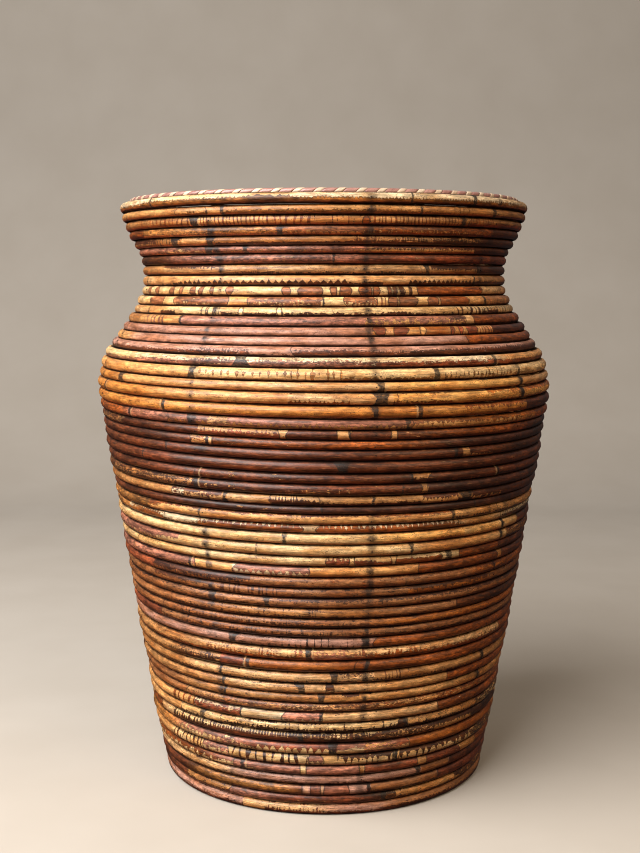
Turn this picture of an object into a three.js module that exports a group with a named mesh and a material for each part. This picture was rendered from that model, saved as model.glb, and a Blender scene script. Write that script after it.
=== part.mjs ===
import * as THREE from 'three';

// Reed floor vase: a wall of round rattan canes laid course on course and
// nailed to upright ribs, with a wrapped rim and a base board.
// Millimetres, +Z up, the floor at z = 0, the front of the vase towards -Y.
// Angles are measured in plan from the front, positive towards +X.

// ---- driving dimensions --------------------------------------------------
const WALL_HEIGHT = 480;          // floor to the top of the top course
const GAP = 0.35;                 // air kept between neighbouring pieces
const CANE_MEAN = 8.3;            // mean thickness of a wall cane
const RIB_APOTHEM = 4.7;          // half the thickness of a rib, radially
const RIB_BACKSET = 5.75;         // cane centre line to the face of a rib
const RIB_FOOT = 1.2;             // rib ends above the floor
const RIB_HEAD = 476.6;           // and below the rim core
const RIB_ANGLES = [-109.9, -70.4, -31.0, 11.4, 53.0, 92.4, 131.9, 171.3, 210.7];
const STEP_FROM = 92.4;           // the courses step down between these two ribs
const STEP_TO = 250.1;
const FACET_GAIN = 1.006;         // facets straddle the true circle

const RIM_CORE_R = [150.2, 161.0];   // flat hoop under the binding
const RIM_CORE_Z = [479.4, 482.4];
const BINDING = 0.8;                 // thickness of the wound strip
const BINDING_LIP = 3.4;             // how far it turns in below the core

const BASE_HOOP_HEIGHT = 10;
const BASE_HOOP_WIDTH = 9;
const BASE_HOOP_Z = 0.8;
const BASE_BOARD_THICK = 6;

// Height taken by each course at the front, from the rim down.
const COURSE_PITCH = [
  8.5, 7.2, 7.4, 7.1, 7.0, 6.2, 7.9, 8.1, 8.6, 7.8, 7.9, 6.9, 7.7, 6.8, 6.8,
  7.3, 7.7, 9.1, 7.3, 9.3, 9.4, 8.3, 7.4, 7.3, 8.2, 9.3, 8.0, 8.6, 7.9, 6.3,
  8.1, 6.6, 8.7, 9.2, 7.7, 8.4, 8.6, 7.9, 8.0, 8.5, 7.3, 7.7, 8.7, 9.9, 9.5,
  9.2, 8.5, 7.9, 7.4, 9.0, 8.3, 8.7, 9.7, 9.7, 8.4, 8.2, 8.9, 8.1, 9.3,
];

// Outer outline of the wall: height, radius.
const OUTLINE = [
  [-8, 135.2], [0, 136.6], [50, 146.0], [100, 155.0], [150, 163.2], [200, 171.3],
  [250, 179.3], [290, 185.7], [312, 189.2], [328, 190.8], [340, 189.8],
  [352, 185.6], [362, 179.9], [372, 172.9], [384, 165.0], [395, 158.6],
  [409.6, 153.5], [417.5, 152.7], [425.3, 152.9], [432.8, 154.0],
  [439.5, 156.2], [445.9, 158.9], [452.8, 162.3], [460.4, 166.0],
  [468, 169.3], [476, 171.0], [488, 171.6]];

// Sideways lean of the courses: course number, fall per unit towards +X.
const LEAN = [
  [1, 0], [13, 0], [16, 0.004], [19, 0.008], [22, 0.0128], [26, 0.0142],
  [30, 0.0132], [33, 0.010], [36, 0.0066], [39, 0.0078], [42, 0.0068],
  [45, 0.0034], [48, 0.002], [52, 0], [59, 0]];

const CANES = 19;                 // canes between the top and bottom hoops

// ---- profile -------------------------------------------------------------
function hermite(table, x) {
  const n = table.length;
  let k = 0;
  while (k < n - 2 && x > table[k + 1][0]) k++;
  const slope = (i) => {
    const a = table[Math.max(i - 1, 0)], b = table[Math.min(i + 1, n - 1)];
    return (b[1] - a[1]) / (b[0] - a[0]);
  };
  const [x0, y0] = table[k], [x1, y1] = table[k + 1];
  const w = x1 - x0, t = (x - x0) / w;
  return y0 * (1 + 2 * t) * (1 - t) ** 2 + y1 * t * t * (3 - 2 * t)
    + w * (slope(k) * t * (1 - t) ** 2 - slope(k + 1) * t * t * (1 - t));
}
function linear(table, x) {
  let k = 0;
  while (k < table.length - 2 && x > table[k + 1][0]) k++;
  const [x0, y0] = table[k], [x1, y1] = table[k + 1];
  return y0 + (y1 - y0) * Math.min(Math.max((x - x0) / (x1 - x0), 0), 1);
}
// Slope angle of the outline: 0 where the wall is upright, positive where it
// widens upwards.
const flare = (z) => Math.atan2(hermite(OUTLINE, z + 0.5) - hermite(OUTLINE, z - 0.5), 1);
// A point set in from the outline along its normal.
function inset(z, depth) {
  const f = flare(z);
  return { r: hermite(OUTLINE, z) - depth * Math.cos(f), z: z + depth * Math.sin(f) };
}

// ---- courses -------------------------------------------------------------
const total = COURSE_PITCH.reduce((a, b) => a + b, 0);
const joints = [WALL_HEIGHT];
for (const p of COURSE_PITCH) joints.push(joints[joints.length - 1] - p * WALL_HEIGHT / total);

const courses = COURSE_PITCH.map((_, i) => {
  const mid = (joints[i] + joints[i + 1]) / 2;
  const c = inset(mid, CANE_MEAN / 2);
  const up = inset(joints[i], CANE_MEAN / 2), down = inset(joints[i + 1], CANE_MEAN / 2);
  return {
    r: c.r, z: mid, tilt: Math.atan2(up.r - down.r, joints[i] - joints[i + 1]),
    h: Math.hypot(up.r - down.r, joints[i] - joints[i + 1]), lean: linear(LEAN, i + 1),
  };
});
const last = courses.length - 1;
courses[0].tilt = 0;
courses[last].tilt = 0;
courses[0].h = Math.min(courses[0].h, 2 * (WALL_HEIGHT - courses[0].z));
courses[last].h = 2 * courses[last].z;
const FLAT = 0.25;                // half width of the flats, in thicknesses
const TIP = 0.55;                 // half width of the section, in thicknesses
for (let pass = 0; pass < 40; pass++) {
  for (let i = 0; i < last; i++) {
    const a = courses[i], b = courses[i + 1];
    const bend = Math.abs(a.tilt - b.tilt);
    const room = Math.hypot(a.r - b.r, a.z - b.z) * Math.cos(
      Math.atan2(a.r - b.r, a.z - b.z) - (a.tilt + b.tilt) / 2)
      - GAP - 2 * FLAT * 9 * Math.sin(bend / 2) - Math.abs(a.lean - b.lean) * a.r;
    const over = (a.h + b.h) / 2 - room;
    if (over > 0) {
      if (i !== last - 1) { a.h -= over / 2; b.h -= over / 2; } else a.h -= over * 2;
    }
  }
}
courses[last].h = 2 * courses[last].z;

// Boundary between two courses, for the tapered cane ends.
const between = (i) => ({
  r: (courses[i].r + courses[i + 1].r) / 2, z: (courses[i].z + courses[i + 1].z) / 2,
  tilt: (courses[i].tilt + courses[i + 1].tilt) / 2, h: 0,
  lean: (courses[i].lean + courses[i + 1].lean) / 2,
});
const mix = (a, b, s) => Object.fromEntries(
  Object.keys(a).map((k) => [k, a[k] + (b[k] - a[k]) * s]));

// ---- plan stations: one at each rib and one between ------------------------
const stationAngles = [];
RIB_ANGLES.forEach((a, i) => {
  const next = i + 1 < RIB_ANGLES.length ? RIB_ANGLES[i + 1] : RIB_ANGLES[0] + 360;
  stationAngles.push(a, (a + next) / 2);
});
const PER_TURN = stationAngles.length;
function stepAt(angle) {
  const x = Math.min(Math.max((angle - STEP_FROM) / (STEP_TO - STEP_FROM), 0), 1);
  return x * x * (3 - 2 * x);
}

// A section corner carried to a station: u outward, v up, in thicknesses.
function place(state, angle, u, v) {
  const a = THREE.MathUtils.degToRad(angle);
  const c = Math.cos(state.tilt), s = Math.sin(state.tilt);
  const r = (state.r + state.h * (u * c + v * s)) * FACET_GAIN;
  const x = r * Math.sin(a), y = -r * Math.cos(a);
  return new THREE.Vector3(x, y, state.z + state.h * (v * c - u * s) - state.lean * x);
}

// Drawn with the up direction first, so that its faces turn outwards.
const section = new THREE.Shape([
  [TIP, 0], [FLAT, 0.5], [-FLAT, 0.5], [-TIP, 0], [-FLAT, -0.5], [FLAT, -0.5],
].map(([u, v]) => new THREE.Vector2(v, u)));

// A straight prism with one step per station, bent onto the stations.
function bent(stations) {
  const n = stations.length - 1;
  const g = new THREE.ExtrudeGeometry(section, { depth: n, steps: n, bevelEnabled: false });
  const p = g.attributes.position;
  for (let i = 0; i < p.count; i++) {
    const w = p.getZ(i), k = Math.round(w);
    const q = stations[k](p.getY(i), p.getX(i));
    p.setXYZ(i, q.x, q.y, q.z);
  }
  g.computeVertexNormals();
  return g;
}

// The continuous run of canes through courses 2 to 58, one state per station.
const firstRun = 1, lastRun = last - 1;
function runState(turn, j) {
  const angle = stationAngles[j], s = stepAt(angle);
  let state;
  if (turn < firstRun) state = mix(between(0), courses[firstRun], s);
  else if (turn === lastRun) state = mix(courses[lastRun], between(lastRun), s);
  else state = mix(courses[turn], courses[turn + 1], s);
  if ((turn < firstRun && s < 1) || (turn === lastRun && s > 0)) state.h = Math.max(state.h - GAP, 0.4);
  return { state, angle };
}
const at = (turn, j) => ({ turn: turn + Math.floor(j / PER_TURN), j: ((j % PER_TURN) + PER_TURN) % PER_TURN });
const order = (p) => p.turn * PER_TURN + p.j;
// Cane ends fall on ribs at the back, staggered from cane to cane.
const JOINT_STATIONS = [14, 12, 16, 10];
const cuts = [order({ turn: 0, j: 13 })];
for (let k = 1; k < CANES; k++) cuts.push(order({ turn: 3 * k, j: JOINT_STATIONS[k % 4] }));
cuts.push(order({ turn: lastRun, j: 15 }));

const corner = (g, u, v) => {
  const { state, angle } = runState(Math.floor(g / PER_TURN), g % PER_TURN);
  return place(state, angle, u, v);
};
function canePiece(from, to) {
  const stations = [];
  for (let g = from; g <= to; g++) {
    stations.push((u, v) => {
      const q = corner(g, u, v);
      const next = g === from ? g + 1 : g === to ? g - 1 : g;
      if (next !== g) {
        const o = corner(next, u, v);
        q.lerp(o, (GAP / 2) / q.distanceTo(o));
      }
      return q;
    });
  }
  return bent(stations);
}

// ---- closed hoops: the top and bottom courses ------------------------------
function hoopPiece(state) {
  const n = PER_TURN;
  const stations = [];
  for (let k = 0; k <= n; k++) stations.push((u, v) => place(state, stationAngles[k % n] + (k === n ? 360 : 0), u, v));
  const start = 0, end = n;
  const shifted = stations.map((f, k) => (u, v) => {
    const q = f(u, v);
    const o = k === start ? stations[1](u, v) : k === end ? stations[n - 1](u, v) : null;
    if (o) q.lerp(o, (GAP / 2) / q.distanceTo(o));
    return q;
  });
  return bent(shifted);
}

// ---- ribs ------------------------------------------------------------------
const RIB_STATIONS = [8, 120, 230, 300, 321, 335, 347, 359, 371, 383, 396, 409, 422, 434, 446, 459];
const ribPath = (z) => inset(z, CANE_MEAN / 2 + RIB_BACKSET + RIB_APOTHEM);
function ribPiece(angleDeg) {
  const path = RIB_STATIONS.map((z) => ({ ...ribPath(z), f: flare(z) }));
  const foot = ribPath(RIB_FOOT), head = ribPath(WALL_HEIGHT - 12);
  const run = [{ r: foot.r, z: RIB_FOOT, f: 0 }, ...path, { r: head.r + 2.0, z: RIB_HEAD, f: 0 }];
  const R = RIB_APOTHEM / Math.cos(Math.PI / 6);
  const hex = new THREE.Shape(Array.from({ length: 6 }, (_, k) => {
    const a = Math.PI / 6 + k * Math.PI / 3;
    return new THREE.Vector2(R * Math.cos(a), R * Math.sin(a));
  }));
  const g = new THREE.ExtrudeGeometry(hex, { depth: run.length - 1, steps: run.length - 1, bevelEnabled: false });
  const a = THREE.MathUtils.degToRad(angleDeg);
  const p = g.attributes.position;
  for (let i = 0; i < p.count; i++) {
    const s = run[Math.round(p.getZ(i))];
    const u = p.getX(i), w = p.getY(i);
    const r = s.r * FACET_GAIN + u * Math.cos(s.f), z = s.z - u * Math.sin(s.f);
    p.setXYZ(i, r * Math.sin(a) + w * Math.cos(a), -r * Math.cos(a) + w * Math.sin(a), z);
  }
  g.computeVertexNormals();
  return g;
}

// ---- turned rings -----------------------------------------------------------
function ring(profile, segments) {
  const pts = [...profile, profile[0]].map(([r, z]) => new THREE.Vector2(r, z));
  const g = new THREE.LatheGeometry(pts, segments);
  g.rotateX(Math.PI / 2);
  return g;
}
const [cr0, cr1] = RIM_CORE_R, [cz0, cz1] = RIM_CORE_Z;
const rimCore = ring([
  [cr0, cz0], [cr1, cz0], [cr1, cz0 + 1.6], [cr1 - 1.8, cz1], [cr0 + 1.8, cz1], [cr0, cz0 + 1.6],
], 24);
const bi = GAP, bo = GAP + BINDING;
const binding = ring([
  [cr1 - BINDING_LIP, cz0 - bo], [cr1 + bo, cz0 - bo], [cr1 + bo, cz0 + 1.8], [cr1 - 1.6, cz1 + bo],
  [cr0 + 1.6, cz1 + bo], [cr0 - bo, cz0 + 1.8], [cr0 - bo, cz0 - bo], [cr0 + BINDING_LIP, cz0 - bo],
  [cr0 + BINDING_LIP, cz0 - bi], [cr0 - bi, cz0 - bi], [cr0 - bi, cz0 + 1.7], [cr0 + 1.7, cz1 + bi],
  [cr1 - 1.7, cz1 + bi], [cr1 + bi, cz0 + 1.7], [cr1 + bi, cz0 - bi], [cr1 - BINDING_LIP, cz0 - bi],
], 24);

const hoopOuter = ribPath(RIB_FOOT).r * FACET_GAIN - RIB_APOTHEM - GAP;
const hz0 = BASE_HOOP_Z, hz1 = BASE_HOOP_Z + BASE_HOOP_HEIGHT;
const baseHoop = ring([
  [hoopOuter - BASE_HOOP_WIDTH, hz0 + 2.5], [hoopOuter - BASE_HOOP_WIDTH + 2.5, hz0], [hoopOuter - 2.5, hz0],
  [hoopOuter, hz0 + 2.5], [hoopOuter, hz1 - 2.5], [hoopOuter - 2.5, hz1], [hoopOuter - BASE_HOOP_WIDTH + 2.5, hz1],
  [hoopOuter - BASE_HOOP_WIDTH, hz1 - 2.5],
], 24);
const boardZ = hz1 + GAP;
const baseBoard = new THREE.CylinderGeometry(hoopOuter, hoopOuter, BASE_BOARD_THICK, 36);
baseBoard.rotateX(Math.PI / 2);
baseBoard.translate(0, 0, boardZ + BASE_BOARD_THICK / 2);

// ---- assembly ---------------------------------------------------------------
const vase = new THREE.Group();
vase.name = 'reed_floor_vase';
function add(name, geometry, color, roughness) {
  const mesh = new THREE.Mesh(geometry, new THREE.MeshStandardMaterial({ color, roughness, metalness: 0 }));
  mesh.name = name;
  vase.add(mesh);
}
const two = (n) => String(n).padStart(2, '0');
const CANE_TONES = [
  0xa86c34, 0x8a5430, 0x9c6a38, 0xc08a48, 0x9a5c3c, 0xc48a44, 0xa8642c, 0x6c4028, 0x64382a, 0xa06c3c,
  0xa87440, 0x9c6234, 0x8c5830, 0x90582e, 0xa06c38, 0xa47844, 0x805630, 0xa0743c, 0x86583a];
add('top_hoop', hoopPiece(courses[0]), 0xb58448, 0.45);
for (let k = 0; k < CANES; k++) add(`wall_cane_${two(k + 1)}`, canePiece(cuts[k], cuts[k + 1]), CANE_TONES[k], 0.45);
add('bottom_hoop', hoopPiece(courses[last]), 0x8c5a3a, 0.45);
RIB_ANGLES.forEach((a, i) => add(`rib_${i + 1}`, ribPiece(a), 0xb08a58, 0.6));
add('rim_core', rimCore, 0xd0ac74, 0.6);
add('rim_binding', binding, 0x8c5c48, 0.5);
add('base_hoop', baseHoop, 0xb08a58, 0.6);
add('base_board', baseBoard, 0xb89668, 0.7);

export default vase;
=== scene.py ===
import math
import random

import bpy
import numpy as np
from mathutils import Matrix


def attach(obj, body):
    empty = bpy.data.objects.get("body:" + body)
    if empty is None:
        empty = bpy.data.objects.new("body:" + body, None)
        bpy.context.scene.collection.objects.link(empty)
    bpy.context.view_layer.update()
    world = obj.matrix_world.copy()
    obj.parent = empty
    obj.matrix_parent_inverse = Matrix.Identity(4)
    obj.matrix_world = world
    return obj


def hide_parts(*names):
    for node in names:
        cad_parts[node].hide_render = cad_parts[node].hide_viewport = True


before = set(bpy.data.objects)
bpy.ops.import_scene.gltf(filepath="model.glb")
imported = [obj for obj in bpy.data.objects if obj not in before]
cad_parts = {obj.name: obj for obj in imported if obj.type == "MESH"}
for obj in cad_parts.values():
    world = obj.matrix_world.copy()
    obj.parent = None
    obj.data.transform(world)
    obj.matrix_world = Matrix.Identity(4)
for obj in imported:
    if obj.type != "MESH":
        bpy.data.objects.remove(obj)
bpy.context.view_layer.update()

# ---------------------------------------------------------------------------
# Dimensions, in millimetres, as in the CAD model
# ---------------------------------------------------------------------------
MM = 0.001
WALL_HEIGHT = 480.0
CANE_MEAN = 8.3
RIB_R = 4.85
RIB_BACKSET = 5.75
RIB_ANGLES = [-109.9, -70.4, -31.0, 11.4, 53.0, 92.4, 131.9, 171.3, 210.7]
STEP_FROM, STEP_TO = 92.4, 250.1
COURSE_PITCH = [
    8.5, 7.2, 7.4, 7.1, 7.0, 6.2, 7.9, 8.1, 8.6, 7.8, 7.9, 6.9, 7.7, 6.8, 6.8,
    7.3, 7.7, 9.1, 7.3, 9.3, 9.4, 8.3, 7.4, 7.3, 8.2, 9.3, 8.0, 8.6, 7.9, 6.3,
    8.1, 6.6, 8.7, 9.2, 7.7, 8.4, 8.6, 7.9, 8.0, 8.5, 7.3, 7.7, 8.7, 9.9, 9.5,
    9.2, 8.5, 7.9, 7.4, 9.0, 8.3, 8.7, 9.7, 9.7, 8.4, 8.2, 8.9, 8.1, 9.3]
OUTLINE = np.array([
    [-8, 135.2], [0, 136.6], [50, 146.0], [100, 155.0], [150, 163.2], [200, 171.3],
    [250, 179.3], [290, 185.7], [312, 189.2], [328, 190.8], [340, 189.8],
    [352, 185.6], [362, 179.9], [372, 172.9], [384, 165.0], [395, 158.6],
    [409.6, 153.5], [417.5, 152.7], [425.3, 152.9], [432.8, 154.0],
    [439.5, 156.2], [445.9, 158.9], [452.8, 162.3], [460.4, 166.0],
    [468, 169.3], [476, 171.0], [488, 171.6]])
LEAN = np.array([
    [1, 0], [13, 0], [16, 0.004], [19, 0.008], [22, 0.0128], [26, 0.0142],
    [30, 0.0132], [33, 0.010], [36, 0.0066], [39, 0.0078], [42, 0.0068],
    [45, 0.0034], [48, 0.002], [52, 0], [59, 0]])
CANES = 19
RIM_CORE_R = (151.2, 162.0)
RIM_CORE_Z = (479.4, 482.4)
BASE_HOOP_HEIGHT, BASE_HOOP_WIDTH, BASE_HOOP_Z = 10.0, 9.0, 0.8
BASE_BOARD_THICK = 6.0
GAP = 0.35


def outline(z):
    """Outer radius of the wall at a height, a smooth curve through the table."""
    z = np.asarray(z, float)
    x, y = OUTLINE[:, 0], OUTLINE[:, 1]
    n = len(x)
    lo, hi = np.maximum(np.arange(n) - 1, 0), np.minimum(np.arange(n) + 1, n - 1)
    m = (y[hi] - y[lo]) / (x[hi] - x[lo])
    k = np.clip(np.searchsorted(x, z, side="left") - 1, 0, n - 2)
    w = x[k + 1] - x[k]
    t = (z - x[k]) / w
    return (y[k] * (1 + 2 * t) * (1 - t) ** 2 + y[k + 1] * t * t * (3 - 2 * t)
            + w * (m[k] * t * (1 - t) ** 2 - m[k + 1] * t * t * (1 - t)))


def flare(z):
    return np.arctan2(outline(np.asarray(z) + 0.5) - outline(np.asarray(z) - 0.5), 1.0)


def inset(z, depth):
    f = flare(z)
    return outline(z) - depth * np.cos(f), np.asarray(z) + depth * np.sin(f)


# one row of numbers per course: radius and height of its centre, tilt of its
# section, thickness, sideways lean
total = sum(COURSE_PITCH)
joints = [WALL_HEIGHT]
for p in COURSE_PITCH:
    joints.append(joints[-1] - p * WALL_HEIGHT / total)
N = len(COURSE_PITCH)
LAST = N - 1
courses = []
for i in range(N):
    mid = (joints[i] + joints[i + 1]) / 2
    r, _ = inset(mid, CANE_MEAN / 2)
    ru, _ = inset(joints[i], CANE_MEAN / 2)
    rd, _ = inset(joints[i + 1], CANE_MEAN / 2)
    dz = joints[i] - joints[i + 1]
    courses.append([float(r), mid, math.atan2(ru - rd, dz), math.hypot(ru - rd, dz),
                    float(np.interp(i + 1, LEAN[:, 0], LEAN[:, 1]))])
courses[0][2] = courses[LAST][2] = 0.0
courses[0][3] = min(courses[0][3], 2 * (WALL_HEIGHT - courses[0][1]))
courses[LAST][3] = 2 * courses[LAST][1]
for _ in range(30):      # round canes touch but do not run into each other
    for i in range(LAST):
        a, b = courses[i], courses[i + 1]
        over = (a[3] + b[3]) / 2 - (math.hypot(a[0] - b[0], a[1] - b[1]) + 0.02)
        if over > 0:
            if i == LAST - 1:
                a[3] -= over * 2
            else:
                a[3] -= over / 2
                b[3] -= over / 2
courses = np.array(courses)


def between(i):
    m = (courses[i] + courses[i + 1]) / 2
    m[3] = 0.0
    return m


# ---------------------------------------------------------------------------
# How each course looks
# ---------------------------------------------------------------------------
def lin(*c):
    return [((v / 255 + 0.055) / 1.055) ** 2.4 if v > 10 else v / 255 / 12.92 for v in c]


SKIN = {   # the cane's own skin where it is left on, stained and varnished
    "chestnut": lin(142, 72, 26), "redbrown": lin(131, 65, 36), "rose": lin(158, 99, 75),
    "mahogany": lin(98, 49, 24), "plum": lin(76, 40, 24), "umber": lin(87, 45, 19),
    "amber": lin(168, 92, 32), "ochre": lin(160, 102, 48), "bead": lin(150, 91, 55)}
# glow, used at the right of courses 19, 20 and 33, is partly their own paler flesh and partly painted light
FLESH = {  # the pale cane under it
    "cream": lin(244, 211, 166), "straw": lin(246, 201, 140), "honey": lin(231, 165, 97),
    "peach": lin(238, 182, 122), "gold": lin(222, 144, 66), "glow": lin(253, 184, 100),
    "orange": lin(184, 104, 40), "wheat": lin(212, 159, 103), "tan": lin(198, 137, 79),
    "pink": lin(197, 142, 118), "brown": lin(170, 109, 63)}


# A style says where the skin is left: kind, edge height, depth and length of
# the teeth along that edge, strength of cross bars, of flecks, and how sharp
# the teeth are (1 straight, below 1 rounded, above 1 spiked).
def S(fine=0.5, bars=0.0, tooth=4.0):
    return ("S", 0.0, 0.0, tooth, bars, fine, 1.0)


def F(fine=0.4, bars=0.0, tooth=4.0):
    return ("F", 0.0, 0.0, tooth, bars, fine, 1.0)


def G(fine=0.3):
    """A patch that is only outlined."""
    return ("G", 0.0, 0.0, 4.0, 0.0, fine, 1.0)


def L(edge=0.0, saw=0.5, tooth=3.6, bars=0.0, fine=0.5, gam=1.0):
    """Skin on the lower side."""
    return ("L", edge, saw, tooth, bars, fine, gam)


def U(edge=0.0, saw=0.5, tooth=3.6, bars=0.0, fine=0.5, gam=1.0):
    """Skin on the upper side."""
    return ("U", edge, saw, tooth, bars, fine, gam)


def B(edge=0.0, saw=0.9, tooth=3.6, fine=0.4, gam=1.0):
    """A row of skin flecks at one height."""
    return ("B", edge, saw, tooth, 0.0, fine, gam)


def C(edge=0.0, saw=0.9, tooth=3.6, fine=0.4, gam=1.0):
    """A row of bare flecks at one height."""
    return ("C", edge, -saw, tooth, 0.0, fine, gam)


def M(level=0.0, bars=0.0, fine=1.6):
    """Worn all over in flecks."""
    return ("M", level, 0.0, 4.0, bars, fine, 1.0)
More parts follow.
